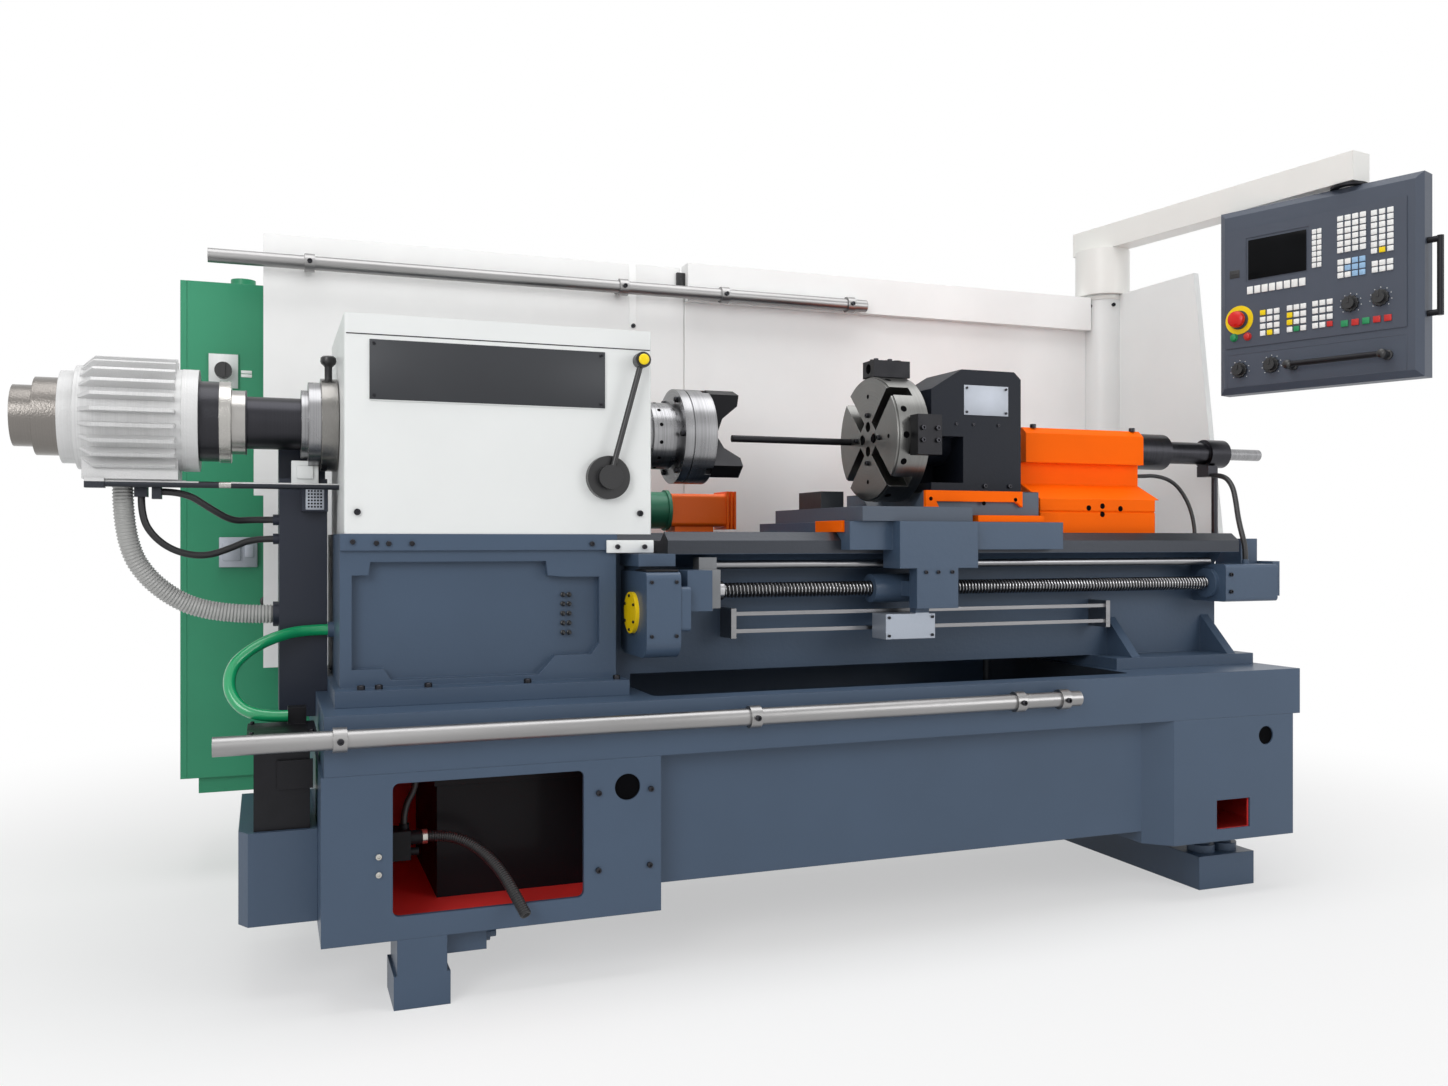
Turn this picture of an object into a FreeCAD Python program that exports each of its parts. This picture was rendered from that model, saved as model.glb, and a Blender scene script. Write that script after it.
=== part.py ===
import FreeCAD, Part
import math
import operator
import os

import Sketcher

# A turning lathe on a welded stand. X runs along the bed towards the tailstock, Y from the operator's
# side to the back and Z up. The origin is on the floor, under the middle of the whole machine.
# Lengths are in mm. Places along X count from the stand's left end, places along Y from its front.

SIZES = {
    # stand
    "reach_left": 1221.35,
    "reach_front": 726.25,
    "plate": 12.0,
    "base_depth": 850.0,
    "bay_length": 743.0,
    "bay_bottom": 149.0,
    "tray_bottom": 505.0,
    "panel_setback": 60.0,
    "panel_bottom": 195.0,
    "leg_left": 2217.0,
    "leg_length": 426.0,
    "leg_bottom": 162.0,
    "window_left": 145.0,
    "window_length": 416.0,
    "window_sill": 50.0,
    "window_height": 284.0,
    "window_round": 14.0,
    "cable_hole_left": 663.0,
    "cable_hole_height": 439.0,
    "cable_hole_radius": 30.0,
    "leg_hole_left": 2543.0,
    "leg_hole_height": 448.0,
    "leg_hole_radius": 26.0,
    "niche_left": 2366.0,
    "niche_length": 118.0,
    "niche_bottom": 195.0,
    "niche_height": 81.0,
    # chip tray
    "tray_left": 6.0,
    "tray_length": 2663.0,
    "tray_height": 128.0,
    "tray_depth": 1105.0,
    "trough_left": 748.0,
    "trough_length": 1380.0,
    "trough_front": 70.0,
    "trough_depth": 700.0,
    "trough_floor": 30.0,
    # feet
    "foot_left": 147.0,
    "foot_length": 119.0,
    "foot_depth": 150.0,
    "foot_height": 72.0,
    "stem_inset": 7.0,
    "rear_foot_front": 690.0,
    "leveller_length": 92.0,
    "beam_left": 2387.0,
    "beam_length": 200.0,
    "beam_height": 95.0,
    "beam_front": 90.0,
    "beam_depth": 740.0,
    "beam_screw_radius": 24.0,
    "beam_screw_inset": 60.0,
    # base tank
    "tank_left": 268.0,
    "tank_length": 380.0,
    "tank_front": 243.0,
    "tank_depth": 420.0,
    "tank_height": 296.0,
    # bed
    "way_height": 1000.0,
    "bed_left": 704.0,
    "bed_length": 1906.0,
    "ways_left": 815.0,
    "bed_lift": 32.0,
    "front_way": 170.0,
    "front_way_width": 130.0,
    "rear_way": 590.0,
    "rear_way_width": 110.0,
    "way_edge": 34.0,
    "way_rise": 22.0,
    "way_flank": 30.0,
    "wall": 30.0,
    "front_wall": 270.0,
    "rear_wall": 620.0,
    "rib_inset": 20.0,
    "rib_end": 176.0,
    "rib_count": 7,
    "rib_top": 940.0,
    "rib_bottom": 700.0,
    "foot_plate_inset": 463.0,
    "foot_plate_length": 497.0,
    "foot_plate_front": 150.0,
    "gusset_height": 110.0,
    # headstock
    "axis_depth": 438.0,
    "axis_height": 1280.0,
    "casting_left": 47.0,
    "casting_length": 639.0,
    "casting_front": 178.0,
    "casting_depth": 542.0,
    "casting_height": 382.0,
    "flange_height": 36.0,
    "flange_front": 110.0,
    "rim_height": 38.0,
    "rim_front": 168.0,
    "recess_depth": 26.0,
    "pedestal_width": 50.0,
    "pedestal_half": 150.0,
    "cover_left": 56.0,
    "cover_length": 717.0,
    "cover_front": 170.0,
    "cover_depth": 550.0,
    "cover_height": 449.0,
    "sheet": 4.0,
    "bearing_inset": 60.0,
    "lid_height": 46.0,
    "sign_left": 107.4,
    "sign_length": 550.0,
    "sign_bottom": 1315.0,
    "sign_height": 140.0,
    # spindle line, places along X count from the stand's left end
    "spindle_radius": 80.0,
    "pull_radius": 46.0,
    "pull_setback": 40.0,
    "nose_left": 838.0,
    "nose_radius": 89.0,
    "nose_step": 10.0,
    "chuck_left": 912.0,
    "chuck_length": 88.0,
    "chuck_radius": 127.0,
    "chuck_bore": 38.0,
    "jaw_width": 46.0,
    "jaw_reach": 82.0,
    "jaw_heel": 36.0,
    "jaw_inner": 24.0,
    "jaw_outer": 126.0,
    "jaw_tongue": 18.0,
    "bearing_radius": 115.0,
    "bearing_width": 44.0,
    "fit_gap": 0.05,
    "flat_gap": 0.3,
    "cap_left": 16.0,
    "cap_length": 38.0,
    "cap_radius": 112.0,
    "cap_neck": 92.0,
    "cap_flange": 135.0,
    "cap_flange_thick": 8.0,
    "ring_length": 28.0,
    "ring_radius": 102.0,
    "collar_length": 16.0,
    "collar_radius": 82.0,
    "tube_left": -149.0,
    "tube_radius": 62.0,
    "tube_ring": 33.0,
    "tube_ring_radius": 76.0,
    "tube_bore": 30.0,
    # actuator
    "drum_left": -504.0,
    "drum_length": 218.0,
    "drum_radius": 118.0,
    "fin_radius": 141.5,
    "fin_thick": 9.0,
    "fin_count": 25,
    "fin_inset": 12.0,
    "fin_point": 26.0,
    "fin_root": 6.0,
    "rim_left": -286.0,
    "rim_length": 35.0,
    "rim_radius": 119.0,
    "end_left": -633.0,
    "stay_radius": 7.5,
    "stay_drop": 152.0,
    # feed
    "screw_depth": 200.0,
    "screw_height": 874.0,
    "screw_radius": 20.0,
    "journal_radius": 12.0,
    "screw_left": 920.0,
    "screw_end_inset": 20.0,
    "gearbox_left": 724.0,
    "gearbox_length": 85.0,
    "gearbox_front": 50.0,
    "gearbox_bottom": 722.0,
    "gearbox_height": 204.0,
    "gearbox_round": 16.0,
    "gearbox_low_round": 42.0,
    "guard_bar_height": 939.0,
    "guard_bar_radius": 11.0,
    "trip_left": 1004.0,
    "trip_length": 1138.0,
    "trip_high": 814.0,
    "trip_low": 770.0,
    "end_block_overlap": 88.0,
    "end_block_length": 197.0,
    "end_flange": 14.0,
    "end_block_front": 130.0,
    "end_block_bottom": 820.0,
    "end_block_height": 110.0,
    # carriage
    "saddle_left": 1288.0,
    "saddle_length": 654.0,
    "bridge_length": 595.0,
    "strip_left": 1674.0,
    "strip_length": 210.0,
    "saddle_front": 120.0,
    "saddle_depth": 600.0,
    "saddle_top": 1050.0,
    "saddle_bottom": 976.0,
    "apron_left": 1411.0,
    "apron_length": 233.0,
    "apron_front": 80.0,
    "apron_bottom": 928.0,
    "slide_left": 1314.0,
    "slide_length": 326.0,
    "slide_front": 100.0,
    "slide_depth": 560.0,
    "slide_height": 38.0,
    "frame_depth": 50.0,
    "dovetail_left": 1521.0,
    "dovetail_length": 302.0,
    "dovetail_height": 65.0,
    "dovetail_lift": 18.0,
    "turret_left": 1574.0,
    "turret_right": 1860.0,
    "turret_front": 200.0,
    "turret_depth": 185.0,
    "turret_top": 1468.0,
    "disc_left": 1450.0,
    "disc_length": 95.0,
    "disc_radius": 172.0,
    "disc_depth": 330.0,
    "tool_sweep": 222.0,
    "sweep_gap": 6.0,
    "bar_seat": 50.0,
    "slot_width": 34.0,
    "bar_radius": 9.5,
    "bar_left": 1088.0,
    # tailstock
    "tail_left": 1947.0,
    "tail_length": 420.0,
    "tail_front": 300.0,
    "tail_depth": 280.0,
    "tail_base_height": 119.0,
    "tail_gland_depth": 410.0,
    "tail_gland_height": 1200.0,
    "quill_radius": 40.0,
    "quill_out": 22.0,
    "quill_stroke": 150.0,
    "tail_cylinder_radius": 35.0,
    "rod_radius": 18.5,
    # guards
    "front_tube_left": -207.0,
    "front_tube_length": 2084.0,
    "front_tube_height": 588.0,
    "front_tube_depth": -33.0,
    "rail_radius": 20.0,
    "rail_wall": 3.0,
    "rear_tube_left": -259.0,
    "rear_tube_length": 2060.0,
    "rear_tube_drop": 90.0,
    "rear_tube_gap": 60.0,
    "shield_left": -114.0,
    "shield_length": 2866.0,
    "shield_thick": 30.0,
    "shield_top": 1888.0,
    "lip_bottom": 1779.0,
    "lip_depth": 34.0,
    "column_left": 2834.0,
    "column_inset": 25.0,
    "column_radius": 80.0,
    "column_top": 1912.0,
    "column_foot": 400.0,
    # control
    "neck_radius": 98.0,
    "arm_bottom": 2082.0,
    "arm_height": 88.0,
    "arm_width": 80.0,
    "arm_turn": 7.9,
    "pivot_left": 2972.0,
    "pivot_depth": 101.0,
    "panel_turn": -71.2,
    "panel_left_half": 396.0,
    "panel_right_half": 219.0,
    "panel_thick": 70.0,
    "panel_bevel": 20.0,
    "panel_bevel_depth": 14.0,
    "panel_bottom_edge": 1475.0,
    "panel_height": 595.0,
    "face_plate": 3.0,
    "key_half": 5.5,
    "key_height": 3.0,
    "stop_stem": 8.0,
    "stop_radius": 22.0,
    "stop_collar": 5.0,
    "stop_collar_radius": 30.0,
    "stop_travel": 5.0,
    "stop_well": 14.0,
    # services
    "cabinet_left": -322.0,
    "cabinet_length": 620.0,
    "cabinet_gap": 95.0,
    "cabinet_depth": 400.0,
    "cabinet_bottom": 304.0,
    "cabinet_height": 1456.0,
    "cabinet_wall": 20.0,
    "door_thick": 18.0,
    "coolant_left": -163.0,
    "coolant_front": 150.0,
    "coolant_depth": 450.0,
    "coolant_bottom": 165.0,
    "coolant_height": 202.0,
    "pump_left": -146.0,
    "pump_length": 144.0,
    "pump_front": 150.0,
    "pump_depth": 180.0,
    "pump_top": 580.0,
    "supply_left": -77.0,
    "supply_length": 110.0,
    "supply_front": 450.0,
    "supply_depth": 300.0,
    "supply_top": 1240.0,
    "supply_step": 1150.0,
    "supply_setback": 110.0,
    "motor_left": 966.0,
    "motor_length": 274.0,
    "motor_depth": 850.0,
    "motor_height": 1092.0,
    "bell_length": 69.0,
    "bell_radius": 62.0,
    "motor_half": 50.0,
    "motor_fin_reach": 8.0,
    "motor_fin": 6.0,
    "switch_plate": 6.0,
    # hoses
    "gland_length": 14.0,
    "gland_radius": 10.0,
    "tail_hose_inset": 15.0,
    "tail_hose_depth": 335.0,
    "end_hose_reach": 26.0,
    "end_hose_depth": 172.0,
    "end_gland_depth": 405.0,
    "coolant_gland_depth": 432.0,
    "coolant_gland_height": 784.0,
    "drain_hose_size": 46.0,
    "pressure_hose_size": 16.0,
    "coolant_hose_size": 27.0,
    "tail_hose_size": 12.0,
    "end_hose_size": 16.0,
    "base_hose_size": 26.0,
    "thin_base_hose_size": 15.0,
    "rib_height": 2.0,
    "hose_wall": 2.0,
}

OPERATIONS = {"+": operator.add, "-": operator.sub, "*": operator.mul, "/": operator.truediv}


class Size:
    """A length or a place: the sheet expression that drives it, and what it comes to now."""

    def __init__(self, text, value):
        self.text = text
        self.value = value

    def combine(self, sign, other, swapped=False):
        other = as_size(other)
        left, right = (other, self) if swapped else (self, other)
        value = OPERATIONS[sign](left.value, right.value)
        return Size(f"({left.text} {sign} {right.text})", value)

    def __add__(self, other):
        return self.combine("+", other)

    def __radd__(self, other):
        return self.combine("+", other, swapped=True)

    def __sub__(self, other):
        return self.combine("-", other)

    def __rsub__(self, other):
        return self.combine("-", other, swapped=True)

    def __mul__(self, other):
        return self.combine("*", other)

    def __rmul__(self, other):
        return self.combine("*", other, swapped=True)

    def __truediv__(self, other):
        return self.combine("/", other)

    def __neg__(self):
        return self.combine("*", -1)


def as_size(number):
    return number if isinstance(number, Size) else Size(f"({number})", float(number))


document = FreeCAD.newDocument("turning_lathe")
sheet = document.addObject("Spreadsheet::Sheet", "Sizes")
for row, (word, number) in enumerate(SIZES.items(), start=1):
    sheet.set(f"A{row}", word)
    sheet.set(f"B{row}", str(number))
    sheet.setAlias(f"B{row}", word)
document.recompute()


class Sheet:
    """The sheet's cells by their names."""

    def __getattr__(self, word):
        return Size(f"Sizes.{word}", float(sheet.get(word)))


s = Sheet()
nodes = {}

AXIS_TURN = {
    "X": FreeCAD.Rotation(FreeCAD.Vector(0, 1, 0), 90),
    "Y": FreeCAD.Rotation(FreeCAD.Vector(1, 0, 0), -90),
    "Z": FreeCAD.Rotation(),
}


# ---------------------------------------------------------------- ways to make a solid

def bind(thing, **sizes):
    for name, size in sizes.items():
        thing.setExpression(name, as_size(size).text)


def put(thing, place, turn=None):
    """Place a thing at (x, y, z), each bound to the sheet."""
    if turn is not None:
        thing.Placement = FreeCAD.Placement(FreeCAD.Vector(), turn)
    for letter, size in zip("xyz", place):
        thing.setExpression(f"Placement.Base.{letter}", as_size(size).text)
    return thing


def block(span_x, span_y, span_z):
    box = document.addObject("Part::Box", "block")
    bind(box, Length=span_x[1] - span_x[0], Width=span_y[1] - span_y[0], Height=span_z[1] - span_z[0])
    return put(box, (span_x[0], span_y[0], span_z[0]))


def place_along(axis, low, centre):
    """The point at `low` along an axis, with `centre` giving the other two coordinates in order."""
    first, second = centre
    return {"X": (low, first, second), "Y": (first, low, second), "Z": (first, second, low)}[axis]


def rod(axis, span, centre, radius):
    cylinder = document.addObject("Part::Cylinder", "rod")
    bind(cylinder, Radius=radius, Height=span[1] - span[0])
    return put(cylinder, place_along(axis, span[0], centre), AXIS_TURN[axis])


def cone(axis, span, centre, low_radius, high_radius):
    taper = document.addObject("Part::Cone", "taper")
    bind(taper, Radius1=low_radius, Radius2=high_radius, Height=span[1] - span[0])
    return put(taper, place_along(axis, span[0], centre), AXIS_TURN[axis])


def join(*pieces):
    fuse = document.addObject("Part::MultiFuse", "joined")
    fuse.Shapes = list(pieces)
    fuse.Refine = True
    return fuse


def apart(*pieces):
    """Several separate solids in one sub-part."""
    compound = document.addObject("Part::Compound", "group")
    compound.Links = list(pieces)
    return compound


def minus(piece, *tools):
    cut = document.addObject("Part::Cut", "cut")
    cut.Base = piece
    cut.Tool = tools[0] if len(tools) == 1 else join(*tools)
    return cut


def ring(axis, span, centre, radius, bore):
    longer = (span[0] - 1, span[1] + 1)
    return minus(rod(axis, span, centre, radius), rod(axis, longer, centre, bore))


def attach(body, plane, offset):
    """A sketch on one of a body's own planes, moved along the plane's normal."""
    sketch = body.newObject("Sketcher::SketchObject", "outline")
    face = next(item for item in body.Origin.OriginFeatures if item.Role == f"{plane}_Plane")
    sketch.AttachmentSupport = [(face, "")]
    sketch.MapMode = "FlatFace"
    sketch.setExpression("AttachmentOffset.Base.z", as_size(offset).text)
    return sketch


def draw(sketch, points):
    """A closed outline of straight lines whose corners are bound to the sheet."""
    points = [(as_size(first), as_size(second)) for first, second in points]
    vectors = [FreeCAD.Vector(first.value, second.value, 0) for first, second in points]
    count = len(vectors)
    start = sketch.GeometryCount
    for index in range(count):
        line = Part.LineSegment(vectors[index], vectors[(index + 1) % count])
        sketch.addGeometry(line, False)
    for index in range(count):
        following = start + (index + 1) % count
        sketch.addConstraint(Sketcher.Constraint("Coincident", start + index, 2, following, 1))
    for index, (first, second) in enumerate(points):
        for kind, size in (("DistanceX", first), ("DistanceY", second)):
            number = sketch.addConstraint(
                Sketcher.Constraint(kind, -1, 1, start + index, 1, size.value))
            sketch.setExpression(f"Constraints[{number}]", size.text)


def slab(plane, points, span):
    """An outline on XY, XZ or YZ, filled from one level to another along the third axis."""
    body = document.addObject("PartDesign::Body", "slab")
    low, high = as_size(span[0]), as_size(span[1])
    sketch = attach(body, plane, -high if plane == "XZ" else low)
    draw(sketch, points)
    pad = body.newObject("PartDesign::Pad", "filled")
    pad.Profile = sketch
    bind(pad, Length=high - low)
    sketch.Visibility = False
    return body


def turned(points, centre):
    """A half outline, (x, radius) pairs, turned about the line along X through centre (y, z)."""
    body = document.addObject("PartDesign::Body", "turned")
    sketch = attach(body, "XZ", 0)
    draw(sketch, points)
    spun = body.newObject("PartDesign::Revolution", "spun")
    spun.Profile = sketch
    spun.ReferenceAxis = (sketch, ["H_Axis"])
    spun.Angle = 360
    return put(body, (0, centre[0], centre[1]))


def stepped(centre, steps, bore=None):
    """A turned piece given as (x_low, x_high, radius) steps from left to right."""
    low = as_size(0) if bore is None else as_size(bore)
    points = [(steps[0][0], low)]
    for left, right, radius in steps:
        points += [(left, radius), (right, radius)]
    points.append((steps[-1][1], low))
    return turned(points, centre)


def soften(piece, radius, wanted):
    """Round the straight edges that `wanted`, given an edge's middle and direction, picks."""
    document.recompute()
    edges = []
    for number, edge in enumerate(piece.Shape.Edges, start=1):
        if edge.Curve.TypeId != "Part::GeomLine":
            continue
        middle = edge.CenterOfMass
        if wanted(middle, edge.Curve.Direction):
            edges.append((number, as_size(radius).value, as_size(radius).value))
    fillet = document.addObject("Part::Fillet", "rounded")
    fillet.Base = piece
    fillet.Edges = edges
    return fillet


def upright(middle, direction):
    return abs(direction.z) > 0.99


def along_y(middle, direction):
    return abs(direction.y) > 0.99


def along_x(middle, direction):
    return abs(direction.x) > 0.99


RUN_SHARE = 0.45


def tube_path(points):
    """Straight runs joined by arcs that touch them, each as large as its two runs allow."""
    points = [FreeCAD.Vector(*point) for point in points]
    edges = []
    radii = []
    start = points[0]
    for before, corner, after in zip(points, points[1:], points[2:]):
        back = (before - corner).normalize()
        ahead = (after - corner).normalize()
        half_turn = (math.pi - back.getAngle(ahead)) / 2
        reach = RUN_SHARE * min(before.distanceToPoint(corner), corner.distanceToPoint(after))
        radius = reach / math.tan(half_turn)
        radii.append(radius)
        first = corner + back * reach
        last = corner + ahead * reach
        inward = (back + ahead).normalize()
        middle = corner + inward * (radius / math.cos(half_turn) - radius)
        edges.append(Part.LineSegment(start, first).toShape())
        edges.append(Part.Arc(first, middle, last).toShape())
        start = last
    edges.append(Part.LineSegment(start, points[-1]).toShape())
    return Part.Wire(edges), radii


def hose(name, points, diameter):
    """A plain tube along a route given in places from the stand's front left corner."""
    wire, radii = tube_path(points)
    route = document.addObject("Part::Feature", "route")
    route.Shape = wire
    put(route, (left, front, 0))
    section = document.addObject("Part::Circle", "section")
    bind(section, Radius=diameter / 2)
    start = points[0]
    ahead = FreeCAD.Vector(*points[1]) - FreeCAD.Vector(*start)
    put(section, (left + start[0], front + start[1], as_size(start[2])),
        FreeCAD.Rotation(FreeCAD.Vector(0, 0, 1), ahead))
    tube = document.addObject("Part::Sweep", "tube")
    tube.Sections = [section]
    tube.Spine = (route, [f"Edge{number}" for number in range(1, len(wire.Edges) + 1)])
    tube.Solid = True
    document.recompute()
    report_tube(name, tube.Shape.Volume, math.pi * diameter.value ** 2 / 4, wire, radii)
    return tube


def report_tube(name, volume, section, wire, radii):
    share = volume / (section * wire.Length)
    print(f"{name}: length {wire.Length:.0f} mm, volume {share:.4f} of section times length, "
          f"radii {', '.join(f'{radius:.0f}' for radius in radii)}")


def place_on(wire, distance):
    """The point and the direction at a distance along a wire."""
    for edge in wire.Edges:
        if distance <= edge.Length:
            break
        distance -= edge.Length
    parameter = edge.getParameterByLength(min(distance, edge.Length))
    return edge.valueAt(parameter), edge.tangentAt(parameter)


def corrugated(name, points, diameter, ribs, across):
    """A ribbed hose with its bore; `across` is a direction that no part of the route follows."""
    wire, radii = tube_path(points)
    outer = diameter.value / 2
    root = outer - s.rib_height.value
    bore = root - s.hose_wall.value
    length = wire.Length
    plain = diameter.value
    pitch = (length - 2 * plain) / ribs
    stations = [(0, root)]
    for number in range(ribs):
        at = plain + number * pitch
        stations += [(at, root), (at + pitch / 2, outer)]
    stations += [(length - plain, root), (length, root)]
    rings = []
    for distance, radius in stations:
        point, ahead = place_on(wire, distance)
        circle = Part.Circle(point, ahead, radius)
        circle.XAxis = ahead.cross(across).normalize()
        rings.append(Part.Wire(circle.toShape()))
    outside = Part.makeLoft(rings, True, True)
    point, ahead = place_on(wire, 0)
    inside = wire.makePipeShell([Part.Wire(Part.Circle(point, ahead, bore).toShape())], True, False)
    tube = document.addObject("Part::Feature", "corrugated")
    tube.Shape = outside.cut(inside)
    put(tube, (left, front, 0))
    print(f"{name}: inside {inside.Volume / (math.pi * bore ** 2 * length):.4f} of section times length, "
          f"length {length:.0f} mm, radii {', '.join(f'{radius:.0f}' for radius in radii)}")
    return tube


def node(name, piece):
    piece.Label = name
    nodes[name] = piece


# ---------------------------------------------------------------- shared places

left = -s.reach_left
front = -s.reach_front
deck = s.tray_bottom + s.tray_height
axis_y = front + s.axis_depth
axis_z = s.axis_height
spindle_axis = (axis_y, axis_z)
bed_base = deck + s.bed_lift
bed_right = left + s.bed_left + s.bed_length
end_block_x = bed_right - s.end_block_overlap
screw_end = bed_right - s.screw_end_inset
casting_top = deck + s.casting_height
cover_top = casting_top + s.cover_height
shield_front = front + s.tray_depth - s.shield_thick
lip_front = shield_front - s.lip_depth
column_y = front + s.tray_depth - s.column_inset
cabinet_y = front + s.tray_depth + s.cabinet_gap
screw_axis = (front + s.screw_depth, s.screw_height)
turret_axis = (front + s.disc_depth, axis_z)
guard_bar_low = s.guard_bar_height - s.guard_bar_radius
way_crest = s.way_height + s.way_rise
front_way_outer = front + s.front_way
front_way_inner = front_way_outer + s.front_way_width
front_crest = front_way_outer + s.way_flank
front_vee_inner = front_crest + s.way_flank
rear_way_inner = front + s.rear_way
rear_way_outer = rear_way_inner + s.rear_way_width
rear_crest = rear_way_outer - s.way_flank
rear_vee_inner = rear_crest - s.way_flank
vee_points = [(front_way_outer, s.way_height), (front_crest, way_crest), (front_vee_inner, s.way_height)]
rear_vee_points = [(rear_vee_inner, s.way_height), (rear_crest, way_crest), (rear_way_outer, s.way_height)]
slide_low = s.saddle_top + s.flat_gap
slide_top = slide_low + s.slide_height
dovetail_low = slide_low + s.dovetail_lift
dovetail_top = dovetail_low + s.dovetail_height


# ---------------------------------------------------------------- stand

def base_frame():
    back = front + s.base_depth
    bay_right = left + s.bay_length
    leg = left + s.leg_left
    leg_right = leg + s.leg_length
    panel = front + s.panel_setback
    bay = block((left, bay_right), (front, back), (s.bay_bottom, s.tray_bottom))
    middle = block((bay_right, leg - s.panel_setback), (panel, back), (s.panel_bottom, s.tray_bottom))
    end = slab("XY", [(leg - s.panel_setback, panel), (leg, front), (leg_right, front),
                      (leg_right, back), (leg - s.panel_setback, back)], (s.leg_bottom, s.tray_bottom))
    bay_space = block((left + s.plate, bay_right - s.plate), (front + s.plate, back - s.plate),
                      (s.bay_bottom + s.plate, s.tray_bottom - s.plate))
    middle_space = block((bay_right, leg - s.panel_setback - s.plate), (panel + s.plate, back - s.plate),
                         (s.bay_bottom, s.tray_bottom - s.plate))
    slant = s.plate * 1.4
    end_space = slab("XY", [(leg - s.panel_setback + s.plate, panel + slant), (leg + slant, front + s.plate),
                            (leg_right - s.plate, front + s.plate), (leg_right - s.plate, back - s.plate),
                            (leg - s.panel_setback + s.plate, back - s.plate)],
                     (s.leg_bottom + s.plate, s.tray_bottom - s.plate))
    sill = s.bay_bottom + s.window_sill
    through = (front - 1, front + s.plate + 1)
    window = soften(block((left + s.window_left, left + s.window_left + s.window_length), through,
                          (sill, sill + s.window_height)), s.window_round, along_y)
    cable_hole = rod("Y", through, (left + s.cable_hole_left, s.cable_hole_height), s.cable_hole_radius)
    leg_hole = rod("Y", through, (left + s.leg_hole_left, s.leg_hole_height), s.leg_hole_radius)
    niche = block((left + s.niche_left, left + s.niche_left + s.niche_length), through,
                  (s.niche_bottom, s.niche_bottom + s.niche_height))
    return minus(join(bay, middle, end), bay_space, middle_space, end_space, window, cable_hole,
                 leg_hole, niche)


def chip_tray():
    tray_left = left + s.tray_left
    body = block((tray_left, tray_left + s.tray_length), (front, front + s.tray_depth),
                 (s.tray_bottom, deck))
    trough_left = left + s.trough_left
    trough = block((trough_left, trough_left + s.trough_length),
                   (front + s.trough_front, front + s.trough_front + s.trough_depth),
                   (s.tray_bottom + s.trough_floor, deck + 1))
    return minus(body, soften(trough, 20, upright))


def left_feet():
    foot = left + s.foot_left
    pieces = []
    for start in (front, front + s.rear_foot_front):
        pad = block((foot, foot + s.foot_length), (start, start + s.foot_depth), (as_size(0), s.foot_height))
        stem = block((foot + s.stem_inset, foot + s.foot_length - s.stem_inset),
                     (start, start + s.foot_depth - s.stem_inset), (s.foot_height, s.bay_bottom))
        pieces.append(join(pad, stem))
    edge = foot + s.foot_length - s.stem_inset
    unit = join(
        block((edge, edge + s.leveller_length), (front + 45, front + 120), (s.bay_bottom - 55, s.bay_bottom)),
        rod("X", (edge, edge + s.leveller_length + 26), (front + 82, s.bay_bottom - 30), 11),
        rod("X", (edge + s.leveller_length, edge + s.leveller_length + 12),
            (front + 82, s.bay_bottom - 30), 18))
    pieces[0] = join(pieces[0], unit)
    return apart(*pieces)


def right_foot():
    beam = left + s.beam_left
    start = front + s.beam_front
    body = block((beam, beam + s.beam_length), (start, start + s.beam_depth), (as_size(0), s.beam_height))
    screws = []
    for across in (beam + s.beam_screw_inset, beam + s.beam_length - s.beam_screw_inset):
        for along in (start + s.beam_screw_inset, start + s.beam_depth - s.beam_screw_inset):
            screws.append(rod("Z", (s.beam_height, s.leg_bottom), (across, along), s.beam_screw_radius))
            screws.append(rod("Z", (s.beam_height, s.beam_height + 22), (across, along),
                              s.beam_screw_radius * 1.6))
    return join(body, *screws)


def base_tank():
    """The black tank in the left bay, and the manifold its hoses come from."""
    tank = left + s.tank_left
    floor = s.bay_bottom + s.plate
    body = block((tank, tank + s.tank_length), (front + s.tank_front, front + s.tank_front + s.tank_depth),
                 (floor, floor + s.tank_height - 34))
    lid = block((tank - 6, tank + s.tank_length + 6),
                (front + s.tank_front - 6, front + s.tank_front + s.tank_depth + 6),
                (floor + s.tank_height - 34, floor + s.tank_height))
    manifold = block((left + s.plate, left + 196), (front + 125, front + 190), (as_size(285), as_size(350)))
    nozzles = [rod("X", (left + 196, left + 222), (front + 150, as_size(330)), 16),
               rod("X", (left + 196, left + 216), (front + 150, as_size(298)), 9),
               rod("Z", (as_size(350), as_size(362)), (left + 184, front + 155), 11)]
    return apart(join(body, lid), join(manifold, *nozzles))


# ---------------------------------------------------------------- bed

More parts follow.
